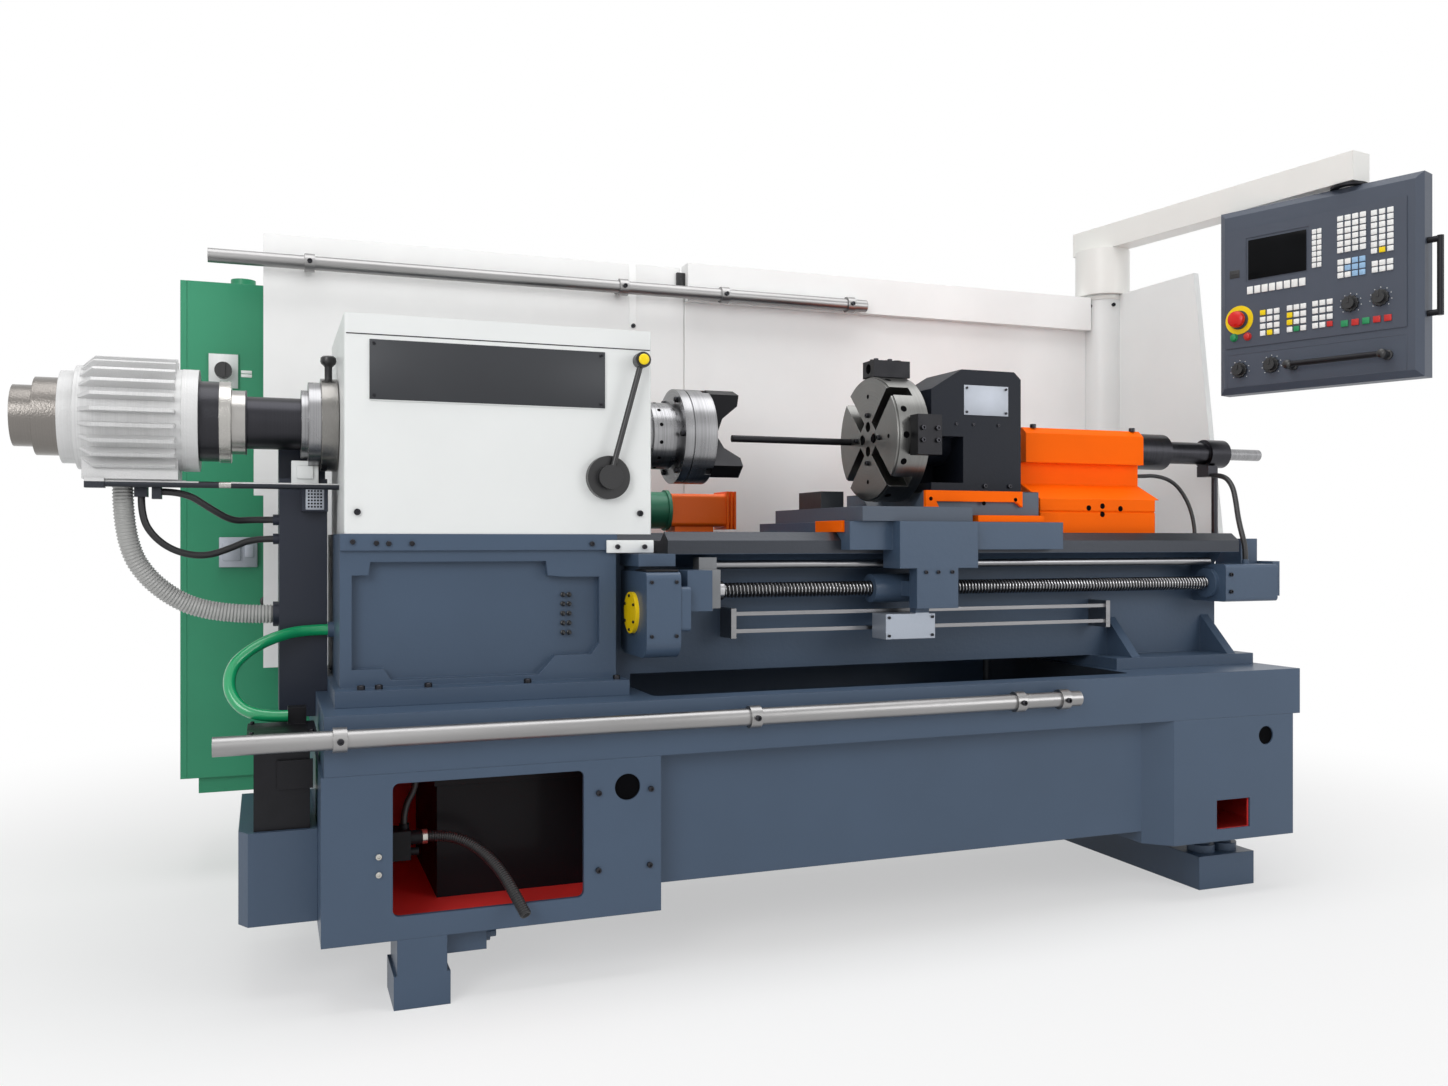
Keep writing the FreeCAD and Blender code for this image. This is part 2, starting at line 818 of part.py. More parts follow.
def bed():
    ways = (left + s.ways_left, bed_right)
    whole = (left + s.bed_left, bed_right)
    top = s.way_height
    under = top - s.way_edge
    low = under - s.way_edge
    front_wall = (front + s.front_wall, front + s.front_wall + s.wall)
    rear_wall = (front + s.rear_wall, front + s.rear_wall + s.wall)
    front_rail = [(front_way_outer, under), *vee_points, (front_way_inner, top), (front_way_inner, low),
                  (front_wall[0], low), (front_wall[0] - s.wall, under)]
    rear_rail = [(rear_way_inner, under), (rear_way_inner, top), *rear_vee_points,
                 (rear_way_outer, under), (rear_wall[1], low), (rear_wall[0], low)]
    pieces = [slab("YZ", front_rail, ways), slab("YZ", rear_rail, ways)]
    for wall in (front_wall, rear_wall):
        pieces.append(block(whole, wall, (bed_base, under)))
    inner = (front_wall[1], rear_wall[0])
    count = int(s.rib_count.value)
    pitch = (s.bed_length - s.rib_inset - s.rib_end) / (s.rib_count - 1)
    for number in range(count):
        start = left + s.bed_left + s.rib_inset + pitch * number
        pieces.append(block((start, start + s.wall), inner, (s.rib_bottom, s.rib_top)))
    pieces.append(block((bed_right - s.wall, bed_right), inner, (bed_base, s.rib_top)))
    plate = bed_right - s.foot_plate_inset
    feet = (front + s.foot_plate_front, rear_way_outer)
    pieces.append(block((plate, plate + s.foot_plate_length), feet, (deck, bed_base)))
    pieces.append(block((left + s.bed_left, left + s.trough_left), (front_wall[0], feet[1]),
                        (deck, bed_base)))
    for start in (plate + 60, plate + s.foot_plate_length - 90):
        gusset = [(feet[0] + 8, bed_base), (front_wall[0], bed_base),
                  (front_wall[0], bed_base + s.gusset_height)]
        pieces.append(slab("YZ", gusset, (start, start + s.wall)))
    gland = rod("Z", (s.rib_top, s.rib_top + s.gland_length),
                (bed_right - s.tail_hose_inset, front + s.tail_hose_depth), s.gland_radius)
    return join(*pieces, gland)


# ---------------------------------------------------------------- headstock

def headstock_casting():
    x = left + s.casting_left
    right = x + s.casting_length
    y = front + s.casting_front
    back = y + s.casting_depth
    shell = block((x, right), (y, back), (deck + s.flange_height, casting_top - s.rim_height))
    flange = block((x - 14, right + 14), (front + s.flange_front, back), (deck, deck + s.flange_height))
    rim = block((x, right), (front + s.rim_front, back), (casting_top - s.rim_height, casting_top))
    face_top = casting_top - s.rim_height - 26
    face_low = deck + s.flange_height + 14
    recess = slab("XZ", [(x + 26, face_low + 26), (x + 95, face_low + 26), (x + 112, face_low),
                         (right - 190, face_low), (right - 150, face_low + 44), (right - 62, face_low + 44),
                         (right - 42, face_low + 70), (right - 42, face_top - 38),
                         (right - 128, face_top - 38),
                         (right - 168, face_top - 34), (right - 172, face_top), (x + 66, face_top),
                         (x + 62, face_top - 30), (x + 26, face_top - 30)],
                  (y - 1, y + s.recess_depth))
    space = block((x + 30, right - 30), (y + 60, back - 30), (deck - 1, casting_top - 30))
    pedestals = []
    for middle in bearing_middles():
        web = slab("YZ", [(axis_y - s.pedestal_half, casting_top), (axis_y + s.pedestal_half, casting_top),
                          (axis_y + s.pedestal_half, axis_z + 60), (axis_y + 70, axis_z + 150),
                          (axis_y - 70, axis_z + 150), (axis_y - s.pedestal_half, axis_z + 60)],
                   (middle - s.pedestal_width / 2, middle + s.pedestal_width / 2))
        pedestals.append(web)
    bores = rod("X", (x, right), spindle_axis, s.bearing_radius)
    gland = rod("X", (x - s.gland_length, x), (front + s.coolant_gland_depth, s.coolant_gland_height), 19)
    return join(minus(join(shell, flange, rim, *pedestals, gland), recess, space, bores), bearing_cap())


def bearing_cap():
    """The stepped cap of the left spindle bearing, which reaches out through the cover's hole."""
    x = left + s.cap_left
    seat = bearing_middles()[0] - s.pedestal_width / 2
    steps = [(x, x + s.cap_length, s.cap_radius), (x + s.cap_length, seat - s.cap_flange_thick, s.cap_neck),
             (seat - s.cap_flange_thick, seat, s.cap_flange)]
    return stepped(spindle_axis, steps, s.spindle_radius + s.fit_gap)


def bearing_middles():
    first = left + s.cover_left + s.sheet + s.bearing_inset
    last = left + s.casting_left + s.casting_length - s.pedestal_width / 2 - 4
    return (first, last)


def spindle_bearings():
    rings = []
    for middle in bearing_middles():
        span = (middle - s.bearing_width / 2, middle + s.bearing_width / 2)
        rings.append(ring("X", span, spindle_axis, s.bearing_radius, s.spindle_radius + s.fit_gap))
    return apart(*rings)


def headstock_cover():
    x = left + s.cover_left
    right = x + s.cover_length
    y = front + s.cover_front
    back = y + s.cover_depth
    shell = soften(block((x, right), (y, back), (casting_top, cover_top)), 6, upright)
    space = block((x + s.sheet, right - s.sheet), (y + s.sheet, back - s.sheet),
                  (casting_top - 1, cover_top + 1))
    hole = rod("X", (x - 1, right + 1), spindle_axis, s.spindle_radius + 16)
    sign = left + s.sign_left
    plate = soften(block((sign, sign + s.sign_length), (y - s.sheet, y),
                         (s.sign_bottom, s.sign_bottom + s.sign_height)), 8, along_y)
    return join(minus(shell, space, hole), plate)


def headstock_lid():
    x = left + s.cover_left
    right = x + s.cover_length
    y = front + s.cover_front
    back = y + s.cover_depth
    shell = soften(block((x, right), (y, back), (cover_top, cover_top + s.lid_height)), 6, upright)
    space = block((x + s.sheet, right - s.sheet), (y + s.sheet, back - s.sheet),
                  (cover_top - 1, cover_top + s.lid_height - s.sheet))
    return minus(shell, space)


def selector_lever():
    hub = (left + 660.4, as_size(1151))
    knob = (left + 738.7, as_size(1434))
    y = front + s.cover_front
    turn = math.degrees(math.atan2(knob[1].value - hub[1].value, knob[0].value - hub[0].value))
    length = math.hypot(knob[1].value - hub[1].value, knob[0].value - hub[0].value)
    disc = join(rod("Y", (y - 22, y - s.flat_gap), hub, 52), rod("Y", (y - 42, y - 22), hub, 29))
    arm = document.addObject("Part::Cylinder", "arm")
    bind(arm, Radius=as_size(7), Height=as_size(length))
    put(arm, (hub[0], y - 32, hub[1]), FreeCAD.Rotation(FreeCAD.Vector(0, 1, 0), 90 - turn))
    grip = join(rod("Y", (y - 46, y - 18), knob, 19), rod("Y", (y - 50, y - 46), knob, 12))
    return join(disc, arm, grip)


# ---------------------------------------------------------------- spindle line

def spindle():
    collar, big, after = ring_places()
    nose = left + s.nose_left
    chuck = left + s.chuck_left
    steps = [(collar, big, s.collar_radius), (big, after, s.ring_radius),
             (after, nose, s.spindle_radius), (nose, chuck - s.nose_step, s.nose_radius),
             (chuck - s.nose_step, chuck, s.nose_radius - s.nose_step)]
    return stepped(spindle_axis, steps, s.pull_radius + s.fit_gap)


def ring_places():
    """Where the collar and the ring at the spindle's left end begin, and where the ring ends."""
    cap = left + s.cap_left - s.flat_gap
    return (cap - s.ring_length - s.collar_length, cap - s.ring_length, cap)


def draw_tube():
    x = left + s.tube_left
    collar = ring_places()[0]
    steps = [(x - s.tube_ring, x, s.tube_ring_radius), (x, collar, s.tube_radius),
             (collar, left + s.chuck_left - s.pull_setback, s.pull_radius)]
    return stepped(spindle_axis, steps, s.tube_bore)


def chuck_body():
    x = left + s.chuck_left
    face = x + s.chuck_length
    r = s.chuck_radius
    body = stepped(spindle_axis, [(x, x + 24, r), (x + 24, x + 27, r - 4), (x + 27, face, r)], s.chuck_bore)
    slots = [jaw_block(turn, (face - s.jaw_tongue, face + 1), s.jaw_inner - 18, r + 2,
                       s.jaw_width * 0.5 + s.flat_gap * 2) for turn in JAW_TURNS]
    return minus(body, *slots)


JAW_TURNS = (20.0, 140.0, 260.0)


def jaw_block(turn, span, inner, outer, width):
    """A block lying along a radius of the chuck, `turn` degrees from straight up towards the front."""
    box = document.addObject("Part::Box", "jaw_block")
    bind(box, Length=span[1] - span[0], Width=width, Height=as_size(outer) - inner)
    rotation = FreeCAD.Rotation(FreeCAD.Vector(1, 0, 0), turn)
    angle = math.radians(turn)
    across = (math.cos(angle), math.sin(angle))
    outward = (-math.sin(angle), math.cos(angle))
    y = axis_y - width * (across[0] / 2) + as_size(inner) * outward[0]
    z = axis_z - width * (across[1] / 2) + as_size(inner) * outward[1]
    return put(box, (span[0], y, z), rotation)


def jaw(turn):
    """A jaw that is longest at its outer end, on a tongue that runs in the chuck's slot."""
    face = left + s.chuck_left + s.chuck_length
    tongue = jaw_block(turn, (face - s.jaw_tongue + s.flat_gap, face + s.jaw_tongue), s.jaw_inner,
                       s.jaw_outer - 6, s.jaw_width * 0.5)
    seat = face + s.flat_gap
    heel = face + s.jaw_heel
    tip = face + s.jaw_reach
    step = s.jaw_inner + s.jaw_heel
    outline = [(seat, s.jaw_inner), (heel, s.jaw_inner), (heel + 8, step), (tip, step + s.jaw_heel),
               (tip, s.jaw_outer), (seat, s.jaw_outer)]
    body = slab("XZ", outline, (-s.jaw_width / 2, s.jaw_width / 2))
    put(body, (0, axis_y, axis_z), FreeCAD.Rotation(FreeCAD.Vector(1, 0, 0), turn))
    return join(tongue, body)


def finned_drum(x, right):
    """The drum and its fins: one pointed fin, repeated about the spindle's axis."""
    body = document.addObject("PartDesign::Body", "drum")
    outline = attach(body, "XZ", 0)
    draw(outline, [(x, 0), (x, s.drum_radius), (right, s.drum_radius), (right, 0)])
    drum = body.newObject("PartDesign::Revolution", "drum_turned")
    drum.Profile = outline
    drum.ReferenceAxis = (outline, ["H_Axis"])
    drum.Angle = 360
    start = x + s.fin_inset
    root = s.drum_radius - s.fin_root
    profile = attach(body, "XZ", 0)
    draw(profile, [(start, root), (start, s.drum_radius), (start + s.fin_point, s.fin_radius),
                   (right - s.fin_inset, s.fin_radius), (right - s.fin_inset, root)])
    fin = body.newObject("PartDesign::Pad", "fin")
    fin.Profile = profile
    fin.Midplane = True
    bind(fin, Length=s.fin_thick)
    fins = body.newObject("PartDesign::PolarPattern", "fins")
    fins.Originals = [fin]
    fins.Axis = (outline, ["H_Axis"])
    fins.Angle = 360
    bind(fins, Occurrences=s.fin_count)
    body.Tip = fins
    return put(body, (0, axis_y, axis_z))


def actuator_housing():
    x = left + s.drum_left
    right = x + s.drum_length
    end = left + s.end_left
    rim = left + s.rim_left
    rim_right = rim + s.rim_length
    steps = [(end, end + 45, as_size(69)), (end + 45, end + 97, as_size(88)),
             (end + 97, rim, as_size(105)),
             (rim, rim_right, s.rim_radius), (rim_right, rim_right + 43, as_size(94)),
             (rim_right + 43, left + s.tube_left - s.tube_ring - s.flat_gap, as_size(97))]
    body = stepped(spindle_axis, steps)
    low = axis_z - s.fin_radius
    sump = block((x + 14, right - 8), (axis_y - 70, axis_y + 70), (low, axis_z - 60))
    plate = block((x + 60, right + 6), (axis_y - 40, axis_y + 40), (low - 12, low))
    bore = rod("X", (end - 1, left + s.tube_left), spindle_axis, s.tube_bore)
    stay = rod("X", (x + 30, left + s.cover_left), (axis_y - 70, axis_z - s.stay_drop), s.stay_radius)
    clamp = block((x + 20, x + 60), (axis_y - 80, axis_y - 50), (axis_z - s.stay_drop - 10, low + 2))
    socket = rod("Z", (as_size(1126), low), (left - 414, front + 438), 27)
    ports = block((left - 350, left - 330), (front + 385, front + 415), (as_size(1095), as_size(1150)))
    port = block((left - 388, left - 360), (front + 405, front + 435), (as_size(1100), as_size(1150)))
    return minus(join(body, finned_drum(x, right), sump, plate, stay, clamp, socket, ports, port), bore)


# ---------------------------------------------------------------- feed

def feed_gearbox():
    x = left + s.gearbox_left
    y = front + s.gearbox_front
    z = s.gearbox_bottom
    top = z + s.gearbox_height
    wall = front + s.front_wall
    box = soften(block((x, x + s.gearbox_length), (y, wall), (z, top)), s.gearbox_low_round,
                 lambda middle, direction: along_x(middle, direction) and middle.z < z.value + 1)
    box = soften(box, s.gearbox_round,
                 lambda middle, direction: along_x(middle, direction) and middle.z > top.value - 1)
    bulge = soften(block((x + s.gearbox_length, x + s.gearbox_length + 26), (y + 4, wall),
                         (z + 62, top - 36)), 10, along_x)
    bracket = block((x - 2, left + s.ways_left - s.flat_gap), (y + 60, wall), (top + 12, top + 42))
    post = block((x + 10, x + 60), (y + 100, wall), (top, top + 12))
    cap = rod("X", (x - 10, x), (y + 108, z + 104), 50)
    drive = block((x + s.gearbox_length + 26, x + 175), (y + 30, wall), (top - 96, top + 2))
    bearing = block((x + 175, x + 222), (y + 100, wall), (s.screw_height - 42, guard_bar_low))
    lug = block((x + 175, x + 222), (screw_axis[0] - 22, screw_axis[0] + 22),
                (guard_bar_low, s.guard_bar_height + s.guard_bar_radius + 8))
    hole = rod("X", (left + s.screw_left - 12, x + 223), screw_axis, s.journal_radius + s.fit_gap)
    return minus(join(box, bulge, bracket, post, cap, drive, bearing, lug), hole)


def ball_screw():
    x = left + s.screw_left
    right = screw_end
    bearing = left + s.gearbox_left + 222
    end = end_block_x - s.end_flange
    steps = [(x - 8, bearing + 2, s.journal_radius), (bearing + 2, bearing + 22, as_size(24)),
             (bearing + 22, end - 6, s.screw_radius), (end - 6, right, s.journal_radius)]
    return stepped(screw_axis, steps)


def end_bearing_block():
    x = end_block_x
    y = front + s.end_block_front
    wall = front + s.front_wall
    z = s.end_block_bottom
    top = z + s.end_block_height
    right = x + s.end_block_length
    body = soften(block((x, right), (y, wall), (z, top)), 10, along_x)
    flange = rod("X", (x - s.end_flange, x), screw_axis, 44)
    hump = block((bed_right + 42, right - 4), (y + 76, wall + 40), (top - 6, top + 76))
    cap = block((right, right + 28), (y + 20, wall), (z + 14, top + 8))
    gland = rod("Z", (top, top + s.gland_length), (bed_right + s.end_hose_reach, front + s.end_hose_depth),
                s.gland_radius)
    hole = rod("X", (x - s.end_flange - 1, screw_end + 2), screw_axis, s.journal_radius + s.fit_gap)
    return minus(join(body, flange, hump, cap, gland), hole)


def guide_bars():
    y = front + s.screw_depth
    wall = front + s.front_wall
    bar = rod("X", (left + s.gearbox_left + 222, end_block_x), (y, s.guard_bar_height),
              s.guard_bar_radius)
    x = left + s.trip_left
    right = x + s.trip_length
    pieces = [block((x, right), (y - 4, y + 4), (level - 5, level + 5))
              for level in (s.trip_high, s.trip_low)]
    for start in (x - 14, right):
        pieces.append(block((start, start + 14), (y - 10, wall), (s.trip_low - 18, s.trip_high + 14)))
    return apart(bar, join(*pieces))


# ---------------------------------------------------------------- carriage

def carriage():
    x = left + s.saddle_left
    right = x + s.saddle_length
    y = front + s.saddle_front
    back = y + s.saddle_depth
    gap = s.flat_gap
    low = s.saddle_bottom
    top = s.saddle_top
    front_wing = [(y, low), (front_way_outer - gap, low), (front_way_outer - gap, s.way_height + gap),
                  (front_crest, way_crest + gap), (front_vee_inner - gap, s.way_height + gap * 4),
                  (front_vee_inner - gap, top), (y, top)]
    rear_wing = [(back, low), (back, top), (rear_vee_inner + gap, top),
                 (rear_vee_inner + gap, s.way_height + gap * 4), (rear_crest, way_crest + gap),
                 (rear_way_outer + gap, s.way_height + gap), (rear_way_outer + gap, low)]
    bridge = block((x, x + s.bridge_length), (front_vee_inner - gap * 2, rear_vee_inner + gap * 2),
                   (way_crest + gap, top))
    apron_left = left + s.apron_left
    apron_right = apron_left + s.apron_length
    plate_y = front + s.apron_front
    apron = block((apron_left, apron_right), (plate_y, y), (s.apron_bottom, top))
    skirt = block((apron_left, apron_right), (y, front_way_outer - gap), (s.apron_bottom, low))
    nut_y, nut_z = screw_axis
    hanger = block((apron_left + 50, apron_right - 60), (plate_y, plate_y + 40),
                   (s.screw_height - 50, s.apron_bottom))
    nut = ring("X", (apron_left - 24, apron_left + 110), screw_axis, 38, s.screw_radius + gap * 2)
    arm = block((apron_left + 52, apron_left + 108), (plate_y + 30, nut_y - 30),
                (s.screw_height - 20, s.screw_height + 20))
    trip = block((apron_left - 27, apron_left + 118), (front + 105, front + 180),
                 (as_size(745), as_size(810)))
    link = block((apron_left + 60, apron_left + 100), (front + 105, front + 135),
                 (as_size(810), s.screw_height - 20))
    return join(slab("YZ", front_wing, (x, right)), slab("YZ", rear_wing, (x, right)), bridge, apron, skirt,
                hanger, nut, arm, trip, link)


def wipers():
    """Orange end wipers of the saddle and the strip along its right wing."""
    x = left + s.saddle_left
    y = front + s.saddle_front
    first = block((x - 8, x), (y + 30, y + 190), (way_crest + s.flat_gap, s.saddle_top + 2))
    strip = block((left + s.strip_left, left + s.strip_left + s.strip_length), (y + 6, y + 40),
                  (s.saddle_top, s.saddle_top + 18))
    return apart(first, strip)


def cross_slide():
    x = left + s.slide_left
    right = x + s.slide_length
    y = front + s.slide_front
    back = y + s.slide_depth
    plate = block((x, right), (y, back), (slide_low, slide_top))
    dovetail = left + s.dovetail_left
    upper = block((dovetail, dovetail + s.dovetail_length + 60), (y + s.frame_depth, back - 60),
                  (dovetail_low, dovetail_top))
    chip_guard = block((x + 36, x + 130), (y + 320, y + 470), (slide_top, slide_top + 50))
    relief = rod("X", (left + s.disc_left - 30, left + s.turret_left), turret_axis,
                 s.tool_sweep + s.sweep_gap)
    return minus(join(plate, upper, chip_guard), relief)


def slide_frame():
    """Orange dovetail frame on the front of the cross slide."""
    x = left + s.dovetail_left
    right = x + s.dovetail_length
    y = front + s.slide_front + s.frame_depth
    outline = [(x, slide_top), (x + 40, slide_top), (x + 32, dovetail_low + 36),
               (right - 20, dovetail_low + 36), (right, dovetail_low + 22), (right, dovetail_top),
               (x, dovetail_top)]
    return slab("XZ", outline, (y - 12, y))


def turret_body():
    x = left + s.turret_left
    right = left + s.turret_right
    low = dovetail_top
    top = s.turret_top
    y = front + s.turret_front
    back = y + s.turret_depth
    base = block((x, right), (y, back), (low, low + 24))
    house = slab("XZ", [(x, axis_z + 4), (x, top - 57), (x + 95, top), (right - 22, top), (right, top - 20),
                        (right, low + 24), (x + 100, low + 24), (x + 100, axis_z + 4)], (y, back))
    neck = rod("X", (left + s.disc_left + s.disc_length + s.flat_gap, x + 102), turret_axis, 70)
    back_plate = block((x, right - 6), (back - 22, back), (low + 24, top - 60))
    return join(base, house, neck, back_plate)


def turret_disc():
    x = left + s.disc_left
    right = x + s.disc_length
    centre = turret_axis
    disc = stepped(centre, [(x, x + 6, s.disc_radius - 4), (x + 6, right, s.disc_radius)])
    slots = []
    for number in range(4):
        turn = 45 + 90 * number
        angle = math.radians(turn)
        outward = (-math.sin(angle), math.cos(angle))
        across = (math.cos(angle), math.sin(angle))
        box = document.addObject("Part::Box", "slot")
        bind(box, Length=s.disc_length - 30, Width=s.slot_width, Height=s.disc_radius)
        start = 46
        y = centre[0] - s.slot_width * (across[0] / 2) + start * outward[0]
        z = centre[1] - s.slot_width * (across[1] / 2) + start * outward[1]
        slots.append(put(box, (x - 1, y, z), FreeCAD.Rotation(FreeCAD.Vector(1, 0, 0), turn)))
    holes = [rod("X", (x - 1, x + 40), (centre[0] + across, centre[1] + up), 14)
             for across, up in ((0, 34), (-34, 0), (34, 0), (0, -34))]
    holes.append(rod("X", (x - 1, x + s.bar_seat), spindle_axis, s.bar_radius + s.fit_gap))
    return minus(disc, *slots, *holes)


def turret_tools():
    x = left + s.disc_left
    cy = turret_axis[0]
    r = s.disc_radius
    top = join(block((x, x + 112), (cy - 36, cy + 30), (axis_z + r - 2, axis_z + r + 44)),
               rod("Z", (axis_z + r + 30, axis_z + r + 50), (x + 90, cy), 12))
    socket = rod("X", (x - 1, x + 113), (cy - 3, axis_z + r + 22), 14)
    side = block((x + 36, x + 108), (cy - r - 40, cy - r + 2), (axis_z - 54, axis_z + 52))
    bar = rod("X", (left + s.bar_left, x + s.bar_seat), spindle_axis, s.bar_radius)
    disc = rod("X", (x - 1, x + s.disc_length), (cy, axis_z), r)
    keep = rod("X", (x - 1, x + 114), (cy, axis_z), s.tool_sweep)
    holders = document.addObject("Part::MultiCommon", "within_sweep")
    holders.Shapes = [apart(minus(top, socket), side), keep]
    return apart(minus(holders, disc), bar)


# ---------------------------------------------------------------- tailstock

def tailstock_body():
    x = left + s.tail_left
    right = x + s.tail_length
    y = front + s.tail_front
    back = y + s.tail_depth
    top = s.way_height + 330
    low = s.way_height + s.flat_gap
    base_front = front_vee_inner + s.flat_gap * 5
    base_back = rear_vee_inner - s.flat_gap * 5
    flare = low + s.tail_base_height
    seam = flare - 36
    base = [(base_front, low), (base_back, low), (base_back, seam - 3), (base_back - 4, seam),
            (base_back, seam + 3), (base_back, flare), (back - 26, top - 165),
            (back - 26, top - 103), (back, top - 103), (back, top - 18), (back - 22, top),
            (y + 22, top), (y, top - 18), (y, top - 103), (y + 26, top - 103),
            (y + 26, top - 165), (base_front, flare), (base_front, seam + 3), (base_front + 4, seam),
            (base_front, seam - 3)]
    body = slab("YZ", base, (x, right))
    corner = block((right - 16, right + 1), (base_front - 1, base_back + 1), (low - 1, flare))
    bore = rod("X", (x - 1, right - 20), spindle_axis, s.quill_radius + s.fit_gap)
    rod_way = rod("X", (right - 21, right + 1), spindle_axis, s.rod_radius + s.fit_gap)
    gland = rod("X", (right, right + s.gland_length), (front + s.tail_gland_depth, s.tail_gland_height),
                s.gland_radius)
    return join(minus(body, corner, bore, rod_way), gland)


def tailstock_cylinder():
    right = left + s.tail_left + s.tail_length
    flange = (right, right + 184)
    collar = (flange[1] + 169, flange[1] + 244)
    steps = [(flange[0], flange[1], as_size(56)), (flange[1], collar[0], s.tail_cylinder_radius),
             (collar[0], collar[1], as_size(45))]
    body = stepped(spindle_axis, steps, s.rod_radius + s.fit_gap)
    fitting = block((collar[0] - 8, collar[0] + 28), (front + s.end_gland_depth, axis_y + 18),
                    (axis_z - 75, axis_z - 40))
    post = rod("Z", (s.way_height - 35, axis_z - 40), (collar[0] + 48, axis_y), 10)
    return join(body, fitting, post)


def tailstock_quill():
    x = left + s.tail_left
    right = x + s.tail_length
    steps = [(x - s.quill_out, right - s.quill_stroke - 40, s.quill_radius),
             (right - s.quill_stroke - 40, right + 580, s.rod_radius)]
    body = stepped(spindle_axis, steps)
    socket = cone("X", (x - s.quill_out - 1, x + 60), spindle_axis, 16, 12)
    return minus(body, socket)


# ---------------------------------------------------------------- guards

def rail_tube(x, length, centre, brackets):
    tube = rod("X", (x, x + length), centre, s.rail_radius)
    collars = []
    for place, span_y, span_z in brackets:
        collars.append(rod("X", (place - 14, place + 14), centre, s.rail_radius + 6))
        collars.append(block((place - 11, place + 11), span_y, span_z))
    bore = rod("X", (x - 1, x + length + 1), centre, s.rail_radius - s.rail_wall)
    return minus(join(tube, *collars), bore)


def front_rail_tube():
    x = left + s.front_tube_left
    y = front + s.front_tube_depth
    z = s.front_tube_height
    brackets = [(x + s.front_tube_length * share, (y, front), (z - 11, z + 11))
                for share in FRONT_BRACKETS]
    return rail_tube(x, s.front_tube_length, (y, z), brackets)


def rear_rail_tube():
    x = left + s.rear_tube_left
    y = shield_front - s.rear_tube_gap
    z = s.shield_top - s.rear_tube_drop
    length = s.rear_tube_length
    brackets = [(x + length * share, (y, shield_front), (z - 11, z + 11)) for share in REAR_BRACKETS]
    brackets += [(x + length * share, (y, lip_front), (z - 11, z + 11)) for share in LIP_BRACKETS]
    return rail_tube(x, length, (y, z), brackets)


# Where the brackets stand, as shares of their tube's length from its left end.
FRONT_BRACKETS = (0.1166, 0.56, 0.9103, 0.9755)
REAR_BRACKETS = (0.1306, 0.584)
LIP_BRACKETS = (0.7495, 0.9704)


def rear_shield():
    x = left + s.shield_left
    right = x + s.shield_length
    back = shield_front + s.shield_thick
    seam = left + 1170
    sheet = block((x, right), (shield_front, back), (deck, s.shield_top))
    low_left = block((left - 140, x), (shield_front, back), (as_size(1130), as_size(1330)))
    lip = block((seam, right), (lip_front, shield_front), (s.lip_bottom, s.shield_top + 12))
    cap = block((seam, right), (lip_front, back), (s.shield_top, s.shield_top + 12))
    groove = block((seam - 4, seam), (shield_front - 1, shield_front + 6), (deck + 20, s.shield_top + 1))
    notch = block((seam - 16, seam), (shield_front - 1, back + 1), (s.shield_top - 80, s.shield_top + 1))
    return minus(join(sheet, low_left, lip, cap), groove, notch)


def panel_column():
    x = left + s.column_left
    y = column_y
    tube = rod("Z", (s.column_foot, s.column_top), (x, y), s.column_radius)
    bracket = block((left + s.tray_left + s.tray_length, x), (y - 80, front + s.tray_depth),
                    (s.tray_bottom, deck))
    high = block((left + s.shield_left + s.shield_length, x), (shield_front, shield_front + s.shield_thick),
                 (as_size(1100), s.shield_top))
    rear = y - s.column_radius + 4
    end_sheet = slab("YZ", [(front + 500, as_size(980)), (rear, as_size(980)), (rear, s.column_top),
                            (front + 620, s.column_top)], (x + 14, x + 34))
    return join(tube, bracket, high, end_sheet)


# ---------------------------------------------------------------- control

panel_low = s.panel_bottom_edge
panel_high = s.panel_bottom_edge + s.panel_height
panel_face = -s.panel_thick / 2


def support_arm():
    x = left + s.column_left
    y = column_y
    deep = s.tray_depth - s.column_inset - s.pivot_depth
    span = math.hypot(s.pivot_left.value - s.column_left.value, deep.value)
    neck = rod("Z", (s.column_top + s.flat_gap, s.arm_bottom), (as_size(0), as_size(0)), s.neck_radius)
    beam = block((-s.arm_width / 2, s.arm_width / 2), (as_size(-span - 40), as_size(110)),
                 (s.arm_bottom, s.arm_bottom + s.arm_height))
    pin = rod("Z", (panel_high + s.flat_gap, s.arm_bottom), (as_size(0), as_size(-span)), 30)
    arm = join(neck, beam, pin)
    arm.Placement = FreeCAD.Placement(FreeCAD.Vector(), FreeCAD.Rotation(FreeCAD.Vector(0, 0, 1),
                                                                        s.arm_turn.value))
    return put(arm, (x, y, 0))


def on_panel(piece):
    """Turn a piece made about the panel's swivel pin to where the panel hangs."""
    turn = FreeCAD.Rotation(FreeCAD.Vector(0, 0, 1), s.panel_turn.value)
    return put(piece, (left + s.pivot_left, front + s.pivot_depth, 0), turn)


def at_panel(across, up):
    """A place on the panel's face: shares of its width from the left and of its height from the top."""
    width = s.panel_left_half + s.panel_right_half
    return (width * across - s.panel_left_half, panel_high - s.panel_height * up)


stop_place = at_panel(0.115, 0.602)
switch_place = (left + s.cabinet_left + 98, as_size(1499))


